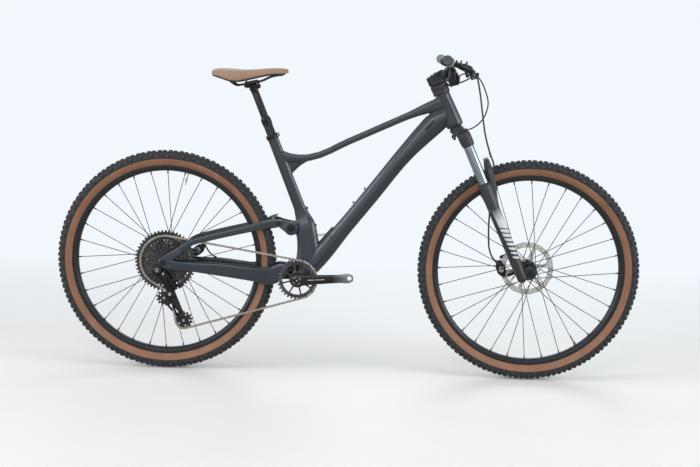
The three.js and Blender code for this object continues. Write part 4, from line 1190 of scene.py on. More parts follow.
def rear_triangle():
    FLAT = [(0.7, 1), (1, 0.72), (1, -0.72), (0.7, -1), (-0.7, -1), (-1, -0.72), (-1, 0.72), (-0.7, 1)]
    def chainstay(y):
        return skin(
            [
                (-196, y * 36, 357, 12, 6), (-222, y * 37, 346, 26, 7), (-250, y * 42, 332, 30, 7.5),
                (-300, y * 51, 336, 25, 7.5), (-440, y * 65, 352, 20, 6.5), (-531, y * 69.5, 358, 15, 6.5),
                (-572, y * 78.2, 362, 15, 5), (-608, y * 79.5, 367, 16, 4.4), (-622, y * 79.5, 368, 10, 4.2)
            ],
            section=FLAT
        )
    shapes = []
    for y in (-1, 1):
        shapes += [
            chainstay(y),
            skin(
                [
                    (-614, y * 79.5, 370, 15, 4.4), (-590, y * 79, 388, 13.5, 4.5), (-566, y * 74, 404, 13, 5),
                    (FLEX[0] - 1.8, y * 68.5, FLEX[1], 11.4, 5.5)
                ],
                section=FLAT, cap=0.6
            ),
            turned([(0, y * 29), (16, y * 29), (16, y * 41), (0, y * 41)], PIVOT, 48, 1),
            turned([(0, y * 74.4), (17.5, y * 74.4), (17, y * 84), (0, y * 84)], REAR, 48, 1.5)
        ]
    shapes.append(
        skin(
            [(-224, -38, 336, 12, 8), (-226, -16, 334, 12, 8), (-226, 16, 334, 12, 8), (-224, 38, 336, 12, 8)], 28,
            (1, 0, 0), 0.8
        )
    )
    mesh = fused(shapes, 1.5, 3)
    mesh = carved(mesh, [bore(PIVOT, 7.4, 60, 32), bore(REAR, 6.4, 98, 32)])
    piece("swingarm", mesh, FRAME_PAINT, "rear_arm", ["swingarm"], crease=28)

    stays = []
    for y in (-1, 1):
        stays.append(
            skin(
                [
                    (FLEX[0] + 0.6, y * 68.5, FLEX[1] + 0.7, 11.4, 5.5), (-522, y * 67, 436, 10.4, 5.5),
                    (-470, y * 63, 453, 10.8, 5.5), (-402, y * 57, 471, 11.4, 5.5), (-320, y * 45, 491, 13, 5),
                    (-268, y * 35, 504, 15.4, 4.2), (STAY_EYE[0], y * 32.6, STAY_EYE[1], 13.4, 3.6),
                    (STAY_EYE[0] + 11, y * 32.6, STAY_EYE[1] + 1, 8, 3.5)
                ],
                section=[(0.5, 1), (1, 0.5), (1, -0.72), (0.7, -1), (-0.7, -1), (-1, -0.72), (-1, 0.5), (-0.5, 1)],
                cap=0.6
            )
        )
    stays.append(rod((-254, -34, 515), (-254, 34, 515), 6.4, 32))
    piece("seatstays", fused(stays, 1.4, 3), FRAME_PAINT, "stays", ["seatstays"], crease=28)
    eyes = []
    for y in (-1, 1):
        eyes.append(
            turned(
                [(0, y * 35.8), (6.8, y * 35.8), (7.2, y * 37.6), (4, y * 38.2), (3.4, y * 37), (0, y * 37)],
                STAY_EYE, 32, 0.4
            )
        )
    piece("stay_bolts", eyes, BLACK, "stays")
    cover = skin(
        [(-268, 0, 521.5, 1.5, 23), (-258, 0, 526, 1.8, 26), (-246, 0, 530.5, 2, 26), (-235.5, 0, 533, 1.6, 23)],
        32, power=0.5, cap=1.2
    )
    piece("rocker_cover", [cover], PLASTIC, "stays", ["rocker_cover"])

    protector = [
        skin(
            [
                (-285, -51.5, 361, 2, 6), (-340, -56.5, 365, 2, 6), (-440, -65.5, 372, 2, 5.6),
                (-505, -68.5, 373, 2, 5.4)
            ],
            20, power=0.5, cap=1
        )
    ]
    for k in range(20):
        x = -300 - 9.6 * k
        share = (k * 9.6) / 192
        protector.append(
            skin(
                [
                    (x - 2.4, -53 - 15 * share, 364.0 + 10 * share - 3 * share**2, 2.2, 5.4),
                    (x + 2.4, -52.6 - 15 * share, 363.8 + 10 * share - 3 * share**2, 2.2, 5.4)
                ],
                12, power=0.5, cap=0.8
            )
        )
    piece("chainstay_protector", protector, RUBBER, "rear_arm")
    axle = [
        pin(REAR, -83, 86, 6, 32),
        turned([(0, 84.2), (9, 84.2), (9.4, 87), (8, 89), (4, 89), (3.4, 87.4), (0, 87.4)], REAR, 36, 0.5)
    ]
    axle.append(turned([(0, -85.2), (8.4, -85.2), (8.8, -84), (0, -84)], REAR, 36, 0.3))
    piece("rear_axle", axle, BLACK, "rear_arm", ["rear_axle"])


rear_triangle()


def rocker():
    shapes = []
    for y in (-1, 1):
        shapes.append(plate(strap(LINK, 21, STAY_EYE, 11.5, 32), [], y * 22, y * 28.4, 1.2))
        shapes.append(plate(strap(LINK, 13, SHOCK_HEAD, 9, 24), [], y * 7.2, y * 10.6, 0.6))
        shapes.append(
            turned(
                [(0, y * 20), (14.2, y * 20), (22, y * 26), (22.4, y * 29.4), (19, y * 30.6), (0, y * 30.6)], LINK,
                64, 1
            )
        )
    shapes.append(pin(LINK, -30, 30, 13.4, 48))
    piece("rocker_link", shapes, FRAME_PAINT, "rocker", ["rocker_link"])
    caps = []
    for y in (-1, 1):
        caps.append(
            turned(
                [
                    (0, y * 29.8), (12.6, y * 29.8), (12.8, y * 31), (11, y * 31.6), (9.6, y * 30.9),
                    (5.2, y * 30.9), (4.6, y * 31.4), (0, y * 31.4)
                ],
                LINK, 56, 0.4
            )
        )
        caps.append(pin(LINK, y * 30.2, y * 31.2, 15.6, 56, 0.3, inner=13.2, kind=1))
    piece("rocker_caps", caps, [BLACK, COCKPIT], "rocker")
    can = [
        rod((0, 0, 14), (0, 0, 92), 19.6, 48, 1.5), ring((0, 0, 88), (0, 0, 96), 20, 7.4, 48, 1.2),
        rod((0, 0, 0), (0, 0, 20), 7, 32)
    ]
    foot = [pin(SHOCK_FOOT, -8, 8, 9, 36)]
    piece("shock_body", [moved(s, SHOCK) for s in can] + foot, BLACK, "shock_can", ["shock_body"])


rocker()


def caliper(name, place, body):
    """A two-piston caliper: two bodies, fins, bolts and a banjo. Its disc runs in the plane y = 0."""
    shapes = [
        skin(
            [(-4, 9, -26, 8, 6), (-4, 9.5, -14, 14, 7), (-4, 9.5, 10, 14, 7), (-2, 9, 24, 9, 6)], 28, power=0.55,
            cap=2.5
        ),
        skin(
            [(-4, -9, -26, 8, 6), (-4, -9.5, -14, 14, 7), (-4, -9.5, 10, 14, 7), (-2, -9, 24, 9, 6)], 28,
            power=0.55, cap=2.5
        ),
        plate(box2(-19, -11.6, -16, 13, 2), [], -8, 8, 0.8),
        turned([(0, -15.5), (9.5, -15.5), (10, -16.8), (8, -17.4), (0, -17.4)], (-4, -3), 36, 0.4, kind=1),
        bolt((-6, -8, 29), (0, 0, 1), 4, 3, kind=1), bolt((-6, 8, -31), (0, 0, -1), 4, 3, kind=1),
        plate(box2(-7.5, 4.5, -33, 28, 3), [], 1.3, 3.6, 0.4),
        plate(box2(-7.5, 4.5, -33, 28, 3), [], -3.6, -1.3, 0.4)
    ]
    for k in range(4):
        shapes.append(plate(box2(-20, -12, -12 + 6 * k, -10 + 6 * k, 0.6), [], -6, 6, 0.3))
    piece(name, shapes, [BLACK, STEEL], body, [name], place=place)


# ---------------------------------------------------------------- fork (steering frame: forward, across, up the axis)
def on_leg(shape, side):
    """A shape on the Z axis, moved to the middle of a fork leg."""
    return moved(shape, Matrix.Translation((15, side * 65, 0)))


def fork():
    socket = lathe([(0, 466), (19.5, 466), (21.3, 474), (21.5, 500), (20, 514), (0, 514)], sides=56, ease=2.5)
    shapes = [on_leg(socket, side) for side in (-1, 1)]
    shapes.append(
        skin(
            [
                (13, -65, 500, 14, 19), (8, -48, 515, 12, 19), (2, -26, 526, 12.5, 21), (0, 0, 528, 12.5, 23),
                (2, 26, 526, 12.5, 21), (8, 48, 515, 12, 19), (13, 65, 500, 14, 19)
            ],
            32, (1, 0, 0), 0.75
        )
    )
    mesh = fused(shapes, 1.6, 4, STEER)
    piece("fork_crown", mesh, CROWN, "steering", ["fork_crown"], crease=40)
    steerer = [
        lathe([(0, 530), (19, 530), (19, 556), (14.2, 596), (14.2, 726), (0, 726)], sides=40, ease=0.5),
        lathe([(19.2, 539), (27, 539.4), (27.4, 542.4), (19.2, 542.6)], sides=56, ease=0.4)
    ]
    piece("steerer", steerer, COCKPIT, "steering", place=STEER)
    for name, side in SIDES.items():
        tube = lathe(oblong(13.4, 16, 190, 505), sides=64, ease=0.4)
        piece("stanchion_" + name, [on_leg(tube, side)], STANCHION, "steering", ["stanchion_" + name], place=STEER)
    caps = [
        on_leg(
            lathe([(0, 513), (17.5, 513), (17.5, 516.5), (12, 518), (11.4, 522), (0, 522.6)], sides=40, ease=0.8),
            -1
        ),
        on_leg(lathe([(0, 513), (18, 513), (18, 516.5), (9, 518), (8.4, 521), (0, 521.4)], sides=40, ease=0.8), 1),
        ring((26, -56, 517), (26, -76, 517), 3, 1, 16),
        sweep([(5, -65, 522), (15, -74, 522.6), (26, -66, 521)], 1.4, 8),
        rod((-14, -30, 512), (-20, -30, 500), 4, 16), rod((-16, 12, 515), (-22, 12, 504), 5, 16),
        rod((-12, 40, 510), (-18, 42, 498), 4, 16)
    ]
    piece("fork_dials", caps, BLACK, "steering", place=STEER)

    shapes = []
    for side in (-1, 1):
        y = side * 65
        leg = lathe(
            [(0, -17), (12, -17), (17, -8), (18, 120), (20, 290), (20.6, 312), (20.6, 328), (0, 328)], sides=56,
            ease=1.5
        )
        shapes += [
            on_leg(leg, side),
            turned([(0, side * 55.4), (17, side * 55.4), (17, side * 75), (0, side * 75)], DROPOUT, 48, 1.5),
            skin([(12, y, -4, 13, 8.6), (30, y, 0, 15, 8.8), (46, y, 0, 16, 8.8)], 32, power=0.7),
            skin(
                [
                    (24, y, 236, 8, 9), (31, y, 280, 10, 10), (42.5, side * 63.5, 320, 10.5, 9.5),
                    (50, side * 58, 358, 9.5, 8), (52, side * 46, 384, 9, 7.5), (53, side * 26, 395, 8.4, 7.5),
                    (53, 0, 398, 8.4, 7.5)
                ],
                28, power=0.6
            ),
            skin(
                [
                    (18, side * 52, 262, 6, 5), (28, side * 50, 304, 7, 5.5), (38, side * 46, 346, 6, 5),
                    (44, side * 38, 374, 6, 4.6), (47, side * 20, 389, 5.5, 4)
                ],
                24, power=0.8
            )
        ]
        for low in (-6, 60) if side > 0 else ():
            shapes.append(plate(box2(-27, 6, low, low + 12, 3), [], 49.5, 61, 1.2))
    mesh = fused(shapes, 1.6, 3, STEER)
    bores = [on_leg(rod((0, 0, 40), (0, 0, 340), 16.5, 48, 0), side) for side in (-1, 1)]
    mesh = carved(mesh, [moved(cut, STEER) for cut in bores + [bore(DROPOUT, 7.8, 95, 32)]])
    piece("fork_lowers", mesh, FORK_PAINT, "fork_slider", ["fork_lowers"], crease=40)
    seals = [
        on_leg(
            lathe([(16.2, 327), (20.4, 327), (20.8, 331), (18.4, 334.5), (16.4, 334.5)], sides=56, ease=0.8), side
        )
        for side in (-1, 1)
    ]
    piece("fork_seals", seals, RUBBER, "fork_slider", place=STEER)
    feet = [
        on_leg(
            lathe([(0, -20.5), (6, -20.5), (6.6, -19), (9, -18.5), (9, -16), (0, -16)], sides=32, ease=0.5), side
        )
        for side in (-1, 1)
    ]
    axle = [
        pin(DROPOUT, -76, 76, 7.5, 40),
        turned([(0, -75.3), (11, -75.3), (11.4, -78.4), (9.6, -80), (5, -80), (4.4, -78), (0, -78)], DROPOUT, 40, 0.5),
        turned([(0, 75.3), (10, 75.3), (10, 77), (0, 77)], DROPOUT, 36, 0.5),
    ]
    piece("front_axle", axle + feet, BLACK, "fork_slider", ["front_axle"], place=STEER)
    boss = [turned([(8, -75), (20, -75), (21.5, -73), (21.5, -58), (19, -55.6), (8, -55.6)], DROPOUT, 56, 1)]
    boss += spun(moved(knob(21.2, -66, 0, 3.4, 12, 1.4), Matrix.Translation((DROPOUT[0], 0, 0))), DROPOUT, 14)
    piece("axle_boss", boss, PLASTIC, "fork_slider", place=STEER)
    caliper(
        "front_caliper", STEER @ Matrix.Translation((-33, 42.4, 34)) @ Matrix.Rotation(radians(4), 4, "Y"),
        "fork_slider"
    )


fork()
rear_place = Matrix.Translation((-515.6, 56.9, 398.5)) @ Matrix.Rotation(radians(-128), 4, "Y")
caliper("rear_caliper", rear_place, "rear_arm")


# ---------------------------------------------------------------- cockpit
def on_bar(y):
    t = (abs(y) - 108) / 272
    return Vector((62 - 14.3 * t, y, 734 + 23 * t))


def sleeve(side, y0, y1, r, inner=11.2, ease=0.8, kind=0, sides=48):
    return ring(on_bar(side * y0), on_bar(side * y1), r, inner, sides, ease, kind)


def slanted(shape):
    """The stem barrel with its top sloping down to the rear."""
    verts = [
        Vector((v.x, v.y, v.z - 0.16 * (30 - v.x) * max(0.0, (v.z - 700) / 31)))
        for v in (Vector(p) for p in shape[0])
    ]
    return verts, shape[1], shape[2]


def cockpit():
    cover = [
        lathe(
            [
                (15, 654.6), (27.2, 654.6), (27.8, 656), (28.4, 669), (27.8, 669.8), (27.8, 670.6), (28.5, 671.4),
                (29, 687), (28, 688), (15, 688)
            ],
            sides=64, ease=0.5
        ),
    ]
    piece("headset_cover", cover, CROWN, "steering", ["headset_cover"], place=STEER)
    body = [
        skin(
            [(-2, 0, 709, 20.5, 22), (12, 0, 709, 20, 22), (32, 0, 710, 17, 20), (48, 0, 710, 16, 22)], 40,
            power=0.6, cap=3
        ),
        slanted(
            moved(
                lathe([(0, 688.6), (29.2, 688.6), (30.6, 731), (0, 731)], sides=64, ease=4),
                Matrix.Diagonal((1, 0.84, 1, 1))
            )
        ),
        turned([(0, -24), (20, -24), (21.6, -22), (21.6, 22), (20, 24), (0, 24)], BAR_CLAMP, 56, 0.8)
    ]
    mesh = fused(body, 1.4, 2, STEER)
    slit = plate(box2(49.2, 50.8, 680, 740, 0.2), [], -40, 40, 0.1)
    mesh = carved(mesh, [moved(cut, STEER) for cut in (bore(BAR_CLAMP, 17.8, 40, 48), slit)])
    piece("stem", mesh, COCKPIT, "steering", ["stem"], crease=35)
    screws = [bolt((71, y, z), (1, 0, 0), 3.4, 2.2) for y in (-15, 15) for z in (698, 722)]
    screws += [bolt((-27, side * 9, 700 + 13 * k), (-0.9, side * 0.4, 0), 3.2, 2.4) for k in (0, 1) for side in (1, -1)]
    screws.append(
        moved(
            lathe([(0, 0), (15, 0), (15.4, 1.4), (4, 2), (3.4, 1), (0, 1)], sides=48, ease=0.4),
            Matrix.Translation((0, 0, 725.6)) @ Matrix.Rotation(radians(-9), 4, "Y")
        )
    )
    piece("stem_screws", screws, BLACK, "steering", place=STEER)

    half = [
        (50, 0, 710, 17.5), (50, 27, 710, 17.5), (51, 42, 712, 16), (56, 70, 722, 13.5), (60, 90, 730, 12),
        (62, 108, 734, 11.1), (47.7, 377, 757, 11.1)
    ]
    rows = [(x, -y, z, r, r) for x, y, z, r in half[:0:-1]] + [(x, y, z, r, r) for x, y, z, r in half]
    piece("handlebar", [skin(rows, 40, (1, 0, 0), cap=0.8)], BLACK, "steering", ["handlebar"], place=STEER)

    for name, side in SIDES.items():
        shapes = [sleeve(side, 252, 376, 15.2, sides=56)]
        for k in range(22):
            shapes.append(sleeve(side, 258 + 5.1 * k, 260.6 + 5.1 * k, 15.95, 14.6, 0.5, sides=56))
        lock = [sleeve(side, 249.6, 256, 16, kind=1), sleeve(side, 375.4, 379.6, 15.9, 5, 0.9, kind=1)]
        end = on_bar(side * 379.6)
        tip = on_bar(side * 380)
        way = (tip - end).normalized()
        lock += [
            ring(end - way * 0.5, end + way * 0.3, 11.6, 9.4, 48, 0.15, kind=2),
            ring(end - way * 0.5, end + way * 0.2, 5.4, 3.4, 32, 0.1, kind=2),
            rod(end - way * 3, end - way * 0.6, 5.2, 32, 0.2, kind=1)
        ]
        lock.append(bolt(on_bar(side * 252.8) + Vector((15.2, 0, 0)), (1, 0, 0), 2.4, 1))
        piece("grip_" + name, shapes + lock, [GRIP, BLACK, GREY], "steering", ["grip_" + name], place=STEER)

        lever = [
            sleeve(side, 226.4, 237.6, 15.6),
            skin(
                [
                    (68, side * 230, 736, 7, 6), (84, side * 224, 721, 8, 7.4), (98, side * 212, 705, 8.6, 8.4),
                    (109, side * 194, 693, 8.6, 9), (113, side * 176, 689.5, 7.6, 8)
                ],
                32, (1, 0, 1), 0.8, cap=3
            ),
            skin(
                [(92, side * 219, 722, 5, 6), (104, side * 204, 709, 6.4, 7.6), (113, side * 188, 700, 5, 6.4)], 28,
                (1, 0, 1), 0.7, cap=2.4
            ),
            rod((104, side * 182, 666), (108, side * 182, 700), 5.4, 28),
            rod((113, side * 176, 689), (119, side * 164, 687), 4, 20),
            bolt(on_bar(side * 232) + Vector((14, 0, 6)), (0.9, 0, 0.4), 3, 2.4),
            bolt((102, side * 206, 716), (0.5, 0, 0.85), 2.6, 1.4, kind=1),
            bolt((108, side * 182, 700), (0.12, 0, 1), 4, 1.6, kind=1),
            rod((97, side * 212, 706), (99, side * 212, 722), 6.6, 28),
            rod((99, side * 212, 718), (108, side * 212, 727), 2.8, 16),
            rod((76, side * 226, 727), (77, side * 226, 745), 3, 16),
            rod((78, side * 226, 728), (108, side * 196, 702), 5.4, 20)
        ]
        piece("brake_body_" + name, lever, [BLACK, STEEL], "steering", ["brake_body_" + name], place=STEER)
        blade = [
            skin(
                [
                    (103, side * 180, 675, 3.4, 5), (110, side * 196, 672, 4, 6), (117, side * 222, 670, 3, 5),
                    (120.4, side * 260, 675, 2.8, 5), (116, side * 292, 682, 2.8, 5.2), (121, side * 304, 680, 3, 5)
                ],
                28, (1, 0, 1), 0.75, cap=1.6
            )
        ]
        blade.append(rod((105.4, side * 204, 672), (116, side * 206, 673), 3, 20, kind=1))
        piece("brake_blade_" + name, blade, [BLACK, STEEL], "brake_lever_" + name, ["brake_blade_" + name], place=STEER)

    shifter = [
        sleeve(-1, 204.4, 215.6, 15.2),
        skin(
            [(58, -210, 726, 8, 8), (50, -206, 708, 12, 17), (44, -200, 690, 14.6, 21), (40, -198, 674, 11, 17)],
            36, power=0.6, cap=3.5
        ),
        lathe([(0, 0), (13, 0), (13.6, 2.4), (11, 3.4), (0, 3.4)], sides=40, ease=0.6),
        bolt((56, -206, 724), (0.9, -0.3, 0.3), 3, 2)
    ]
    shifter[2] = moved(shifter[2], Matrix.Translation((42, -217, 690)) @ Matrix.Rotation(radians(90), 4, "X"))
    shifter.append(rod((56, -190, 696), (68, -182, 690), 4.4, 20))
    shifter += [
        sweep([(54, -216, 712), (62, -214, 700), (62, -212, 686), (52, -210, 672)], 4.2, 14),
        rod((30, -190, 676), (62, -196, 680), 5, 20), bolt((42, -220, 690), (0, -1, 0), 5, 1.6),
        bolt((52, -216, 672), (0, -1, 0), 2.6, 1.4)
    ]
    piece("shifter_body", shifter, BLACK, "steering", ["shifter_body"], place=STEER)
    paddles = {
        "shift_lever": (
            [(24, -196, 688, 6, 6.6), (10, -202, 684, 4, 9), (-3, -210, 682, 2.6, 8.6)], "shift_paddle", PLASTIC
        ),
        "dropper_lever": (
            [(36, 200, 704, 5, 6.6), (20, 206, 698, 3.4, 8.4), (4, 214, 694, 2.6, 8.6)], "dropper_paddle", BLACK
        ),
        "lockout_lever": (
            [(40, 196, 684, 3, 5.8), (24, 204, 680, 2.6, 8), (8, 212, 678, 2.6, 8)], "lockout_paddle", BLACK
        )
    }
    for name, (rows, body, look) in paddles.items():
        shape = [skin(rows, 28, power=0.65, steps=6, cap=1.6)]
        last, before = Vector(rows[2][:3]), Vector(rows[1][:3])
        for k in range(5):
            spot = before.lerp(last, 0.25 + 0.15 * k) + Vector((0, 0, 2.8 - 0.1 * k))
            shape.append(rod(spot + Vector((0, -5.4, 0)), spot + Vector((0, 5.4, 0)), 0.7, 8, 0.2))
        piece(name, shape, look, body, [name], place=STEER)
    remote = [
        sleeve(1, 204.4, 215.6, 15.2),
        skin([(58, 210, 726, 8, 8), (52, 206, 710, 10, 13), (48, 202, 696, 9, 15)], 36, power=0.6, cap=3),
        rod((46, 198, 680), (46, 200, 712), 6, 28), bolt((46, 198, 680), (0, 0, -1), 5, 1.6),
        bolt(on_bar(210) + Vector((13.6, 0, 6)), (0.9, 0, 0.4), 3, 2.4),
    ]
    piece("remote_body", remote, BLACK, "steering", ["remote_body"], place=STEER)


cockpit()


def hose(name, points, r, body, blend=None):
    shapes = [sweep(points, r, 14, 8)]
    for end, near in ((points[0], points[1]), (points[-1], points[-2])):
        way = (Vector(near) - Vector(end)).normalized()
        shapes.append(rod(Vector(end), Vector(end) + way * 7, r + 0.9, 16, 0.5))
    obj = piece(
        name, shapes, HOSE, None if blend else body, [name], place=STEER if name != "rear_brake_hose" else WORLD
    )
    if blend:
        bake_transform(obj)
    return obj


hose(
    "rear_hose_cockpit",
    [(118, -165, 687), (119, -140, 682), (104, -90, 672), (70, -45, 668), (42, -18, 672), (27.5, -8, 674)], 2.5,
    "steering"
)
hose(
    "front_hose_lower",
    [
        (73, 41, 403.4), (72, 40, 372), (55, 40, 335), (28, 40.5, 282), (-6, 41, 215), (-34, 42, 152),
        (-49, 42.4, 106), (-50, 42.4, 80), (-43, 42.4, 58)
    ],
    2.9, "fork_slider"
)
high, low = STEER @ Vector((122, 80, 640)), STEER @ Vector((75, 41, 412))
hose(
    "front_hose_upper",
    [
        (118, 165, 687), (125, 140, 684), (131, 95, 664), (120, 58, 612), (100, 44, 540), (82, 41, 470),
        (73, 41, 404)
    ],
    2.9, "", ("steering", "fork_slider", tuple(high * MM), tuple(low * MM))
)
hose(
    "rear_brake_hose", [(-500, 57, 417), (-486, 56, 410), (-476, 54, 396), (-462, 54, 381), (-448, 56, 373.6)], 2.5,
    "rear_arm"
)
hose(
    "lockout_cable",
    [
        (60, 196, 681), (96, 130, 684), (128, 20, 668), (134, -40, 620), (124, -62, 568), (92, -66, 532),
        (52, -65, 517), (26, -65, 518)
    ],
    2.3, "steering"
)


# ---------------------------------------------------------------- seatpost and saddle
def seatpost():
    outer = [
        lathe([(12.9, -26), (15.3, -26), (15.3, 198), (12.9, 198)], sides=56, ease=0.4),
        lathe(
            [
                (12.7, 196), (16.8, 196), (16.8, 200), (16.2, 201), (16.2, 203), (16.8, 204), (16.8, 218.6),
                (14.4, 224), (12.7, 224)
            ],
            sides=56, ease=0.6
        )
    ]
    piece("seatpost_lower", outer, BLACK, "frame", ["seatpost_lower"], place=SEAT)
    level = Matrix.Translation((0, 0, 338)) @ Matrix.Rotation(radians(22.2), 4, "Y")
    inner = [lathe([(0, 92), (12.5, 92), (12.5, 314), (0, 314)], sides=56, ease=0.5)]
    head = [
        skin([(0, 0, 311, 12.4, 12.4), (0, 0, 322, 13, 13.4), (-1, 0, 332, 15, 16)], 40, (0, 1, 0), 0.8, cap=1),
        moved(
            skin(
                [(-27, 0, -2, 6, 11), (-8, 0, -3, 7, 14), (8, 0, -3, 7, 14), (27, 0, -2, 6, 11)], 32, power=0.6,
                cap=2
            ),
            level
        )
    ]
    cradle = Matrix.Translation((0, 0, 346.5)) @ Matrix.Rotation(radians(22.2 - 12.2), 4, "Y")
    for y in (-22, 22):
        head.append(moved(skin([(-20, y, 0, 7, 6), (20, y, 0, 7, 6)], 28, power=0.6, cap=1.6), cradle))
    head.append(moved(rod((0, -27, -1), (0, 27, -1), 5.4, 28), cradle))
    screws = [moved(bolt((x, 0, -8), (0, 0, -1), 3.6, 3, kind=1), level) for x in (-21, 21)]
    screws += [moved(rod((x, 0, -8), (x, 0, 17), 2.4, 16), level) for x in (-21, 21)]
    piece("seatpost_upper", inner + head + screws, [BLACK, STEEL], "saddle_post", ["seatpost_upper"], place=SEAT)
    rails = [
        (-396, -22, 975), (-381, -22, 963), (-357, -22, 965), (-297, -22, 978), (-266, -19, 992), (-240, -12, 998),
        (-231, 0, 999)
    ]
    rails += [(x, -y, z) for x, y, z in rails[-2::-1]]
    piece("saddle_rails", [sweep(rails, 3.5, 16, 6)], BLACK, "saddle_post", ["saddle_rails"])


seatpost()

SADDLE_CROWN = 5.0
SADDLE_CHANNEL = 9.5
# Rows of x, top, half width, side drop and how far the middle dips.
SADDLE_ROWS = [
    (-460, 1010, 40, 10, 0), (-450, 1014.4, 58, 18, 1.2), (-430, 1016.6, 68, 25.5, 2.4),
    (-400, 1016.4, 69, 34.5, 3.4), (-370, 1014.6, 62, 34.5, 4.0), (-340, 1014.8, 50, 28, 4.2),
    (-310, 1017.2, 38, 23, 3.8), (-280, 1020.2, 29, 19, 3.0), (-250, 1021.8, 23, 17, 2.0),
    (-225, 1021.4, 18.5, 15, 0.8), (-209, 1018, 12, 10, 0)
]


def saddle_seam(back):
    """Where the panel seam runs, as a share of the half width."""
    return 0.62 - 0.25 * back


def on_saddle(row, s):
    """A place on the cover. s runs from -1 to 1 across it."""
    x, _, top, width, drop, dip = row
    y = width * sin(s * pi / 2 * 0.98)
    channel = dip * max(0.0, 1 - (abs(y) / SADDLE_CHANNEL) ** 2) ** 2
    return x, y, top - SADDLE_CROWN * (abs(y) / width) ** 2 - (drop - SADDLE_CROWN) * abs(s) ** 3.2 - channel


def saddle():
    """Crowned cover over a moulded base, with a relief channel, a panel seam and stitches."""
    rows = smooth([(x, 0, z, w, d, c) for x, z, w, d, c in SADDLE_ROWS], 6)
    n, across = len(rows), 41
    base = n * across
    shares = [2 * k / (across - 1) - 1 for k in range(across)]
    verts = [on_saddle(row, s) for row in rows for s in shares]
    for x, _, top, width, drop, _ in rows:
        for s in shares:
            verts.append((x, 0.95 * width * sin(s * pi / 2 * 0.98), top - drop - 1.6 - 1.2 * (1 - s * s)))
    cover, panel = [], []
    cells = [(i, k) for i in range(n - 1) for k in range(across - 1)]
    for i, k in cells:
        a = i * across + k
        s, back = abs(2 * (k + 0.5) / (across - 1) - 1), i / (n - 1)
        faces = panel if s > saddle_seam(back) or back > 0.86 else cover
        faces.append((a, a + 1, a + across + 1, a + across))
    for i, k in cells:
        a = base + i * across + k
        cover.append((a, a + across, a + across + 1, a + 1))
    rim = [i * across for i in range(n)] + [(n - 1) * across + k for k in range(1, across)]
    rim += [i * across + across - 1 for i in range(n - 2, -1, -1)] + list(range(across - 2, 0, -1))
    for i, a in enumerate(rim):
        b = rim[(i + 1) % len(rim)]
        cover.append((a, b, base + b, base + a))
    shapes = [(verts, cover, 0), (verts, panel, 1)]
    obj = piece("saddle", shapes, [SKIN, SKIN_DARK], "saddle_post", ["saddle"], crease=60)
    soft = obj.modifiers.new("soft", "SUBSURF")
    soft.levels = soft.render_levels = 1

    seams = []
    for side in (-1, 1):
        line = []
        for i in range(2, n - 3):
            x, y, z = on_saddle(rows[i], saddle_seam(i / (n - 1)))
            line.append(Vector((x, side * y, z + 0.15)))
        for a, b in zip(line, line[1:]):
            seams.append(rod(a.lerp(b, 0.1), a.lerp(b, 0.6), 0.55, 6, 0.1))
    piece("saddle_stitches", seams, PALE, "saddle_post")
    shell = []
    under = [(x, 0, top - drop - 4.2, 3.4, max(width * 0.93, 6)) for x, _, top, width, drop, _ in rows[2:-2:3]]
    shell.append(skin(under, 40, power=0.5, steps=2, cap=1.4))
    for side in (-1, 1):
        shell.append(
            skin(
                [(-410, side * 22, 986, 6, 6), (-398, side * 22, 977, 6, 6), (-388, side * 22, 968, 5, 5.4)], 24,
                power=0.7, cap=1.6
            )
        )
    shell.append(skin([(-226, 0, 1004, 6, 9), (-236, 0, 999.5, 6, 8)], 24, power=0.7, cap=1.6))
    piece("saddle_shell", shell, PLASTIC, "saddle_post")


saddle()


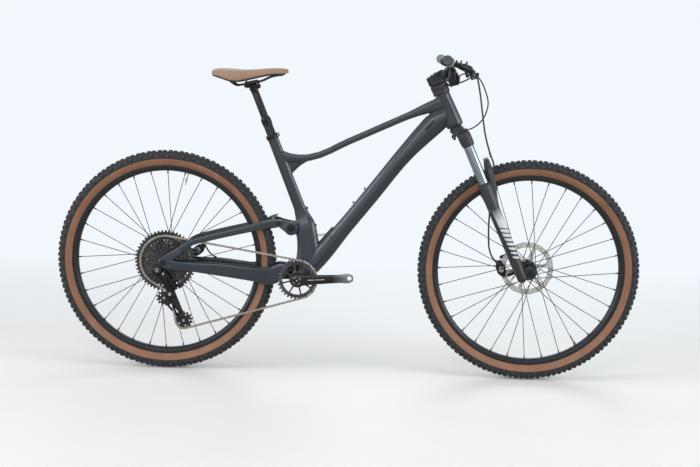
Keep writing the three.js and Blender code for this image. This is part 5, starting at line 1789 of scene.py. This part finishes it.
# ---------------------------------------------------------------- floor, light and camera
def studio():
    mesh = bpy.data.meshes.new("floor")
    inner, outer, count = 1.5, 6, 96
    verts = [(0, 0, 0)] + [(*p, 0) for r in (inner, outer) for p in circle((0, 0), r, count)]
    faces = [(0, 1 + k, 1 + (k + 1) % count) for k in range(count)]
    faces += [(1 + k, 1 + count + k, 1 + count + (k + 1) % count, 1 + (k + 1) % count) for k in range(count)]
    mesh.from_pydata(verts, [], faces)
    floor = bpy.data.objects.new("floor", mesh)
    bpy.context.scene.collection.objects.link(floor)
    look = Look("floor", 0.55)
    tone = look.between(look.noise(1.5, 3), 0.3, 0.7)
    out = look.mix(tone, (0.93, 0.885, 0.82), (0.96, 0.915, 0.85))
    look.finish(out)
    reach = look.node("VectorMath", {0: look.place}, operation="LENGTH").outputs["Value"]
    clear = look.nodes.new("ShaderNodeBsdfTransparent").outputs[0]
    outward, backward = look.between(reach, 2.2, 4.6), look.between(look.along(0, 1, 0), 0.5, 2.4)
    fade = look.math("MAXIMUM", outward, backward)
    blend = look.node("MixShader", {0: fade, 1: look.shader.outputs[0], 2: clear})
    look.links.new(blend.outputs[0], look.nodes["Material Output"].inputs[0])
    mesh.materials.append(look.material)
    floor.visible_diffuse = floor.visible_glossy = False

    world = bpy.data.worlds.new("studio")
    bpy.context.scene.world = world
    world.use_nodes = True
    nodes, links = world.node_tree.nodes, world.node_tree.links
    glow = nodes["Background"]
    level = nodes.new("ShaderNodeSeparateXYZ")
    links.new(nodes.new("ShaderNodeTexCoord").outputs["Generated"], level.inputs[0])
    ramp = nodes.new("ShaderNodeValToRGB")
    spread = nodes.new("ShaderNodeMapRange")
    links.new(level.outputs[2], spread.inputs[0])
    spread.inputs[1].default_value, spread.inputs[2].default_value = -1, 1
    links.new(spread.outputs[0], ramp.inputs[0])
    ramp.color_ramp.elements[0].color = (0.52, 0.48, 0.42, 1)
    ramp.color_ramp.elements[1].color = (0.26, 0.30, 0.35, 1)
    for at, color in ((0.42, (0.42, 0.41, 0.40, 1)), (0.56, (0.60, 0.66, 0.74, 1))):
        ramp.color_ramp.elements.new(at).color = color
    links.new(ramp.outputs[0], glow.inputs[0])
    glow.inputs["Strength"].default_value = 1.0
    wall = nodes.new("ShaderNodeBackground")
    wall.inputs["Color"].default_value = (0.885, 0.935, 0.985, 1)
    wall.inputs["Strength"].default_value = 1.0
    seen = nodes.new("ShaderNodeMixShader")
    links.new(nodes.new("ShaderNodeLightPath").outputs["Is Camera Ray"], seen.inputs[0])
    links.new(glow.outputs[0], seen.inputs[1])
    links.new(wall.outputs[0], seen.inputs[2])
    links.new(seen.outputs[0], nodes["World Output"].inputs[0])

    cool, warm = (0.92, 0.96, 1), (1, 0.98, 0.95)
    for name, place, target, size, power, color in (
        ("ceiling", (0, -0.6, 3.8), (0, 0, 0.4), (3.5, 2.5), 28, (1, 1, 1)),
        ("rear_side", (-4.0, -1.6, 1.9), (0, 0, 0.7), (2.6, 2.6), 95, cool),
        ("front_side", (4.2, -1.8, 1.7), (0.2, 0, 0.6), (2.4, 2.4), 95, cool),
        ("camera_side", (-0.8, -4.8, 2.6), (0, 0, 0.6), (2.4, 1.6), 45, warm),
        ("behind", (0.5, 3.4, 2.2), (0, 0, 0.6), (2.4, 1.6), 30, cool),
    ):
        data = bpy.data.lights.new(name, "AREA")
        data.shape = "RECTANGLE"
        data.size, data.size_y = size
        data.energy, data.color = power, color
        obj = bpy.data.objects.new(name, data)
        bpy.context.scene.collection.objects.link(obj)
        obj.location = place
        obj.rotation_euler = (Vector(target) - Vector(place)).to_track_quat("-Z", "Y").to_euler()

    data = bpy.data.cameras.new("camera")
    data.sensor_width = 36
    data.lens = 71.885
    camera = bpy.data.objects.new("camera", data)
    bpy.context.scene.collection.objects.link(camera)
    yaw, pitch, roll = radians(1.95), radians(7.549), radians(1.454)
    level_turn = Matrix.Rotation(yaw, 4, "Z") @ Matrix.Rotation(pi / 2 - pitch, 4, "X")
    place = Matrix.Translation((0.16623, -4.64658, 1.09244))
    camera.matrix_world = place @ level_turn @ Matrix.Rotation(roll, 4, "Z")
    bpy.context.scene.camera = camera
    bpy.context.scene.view_settings.view_transform = "Standard"


studio()
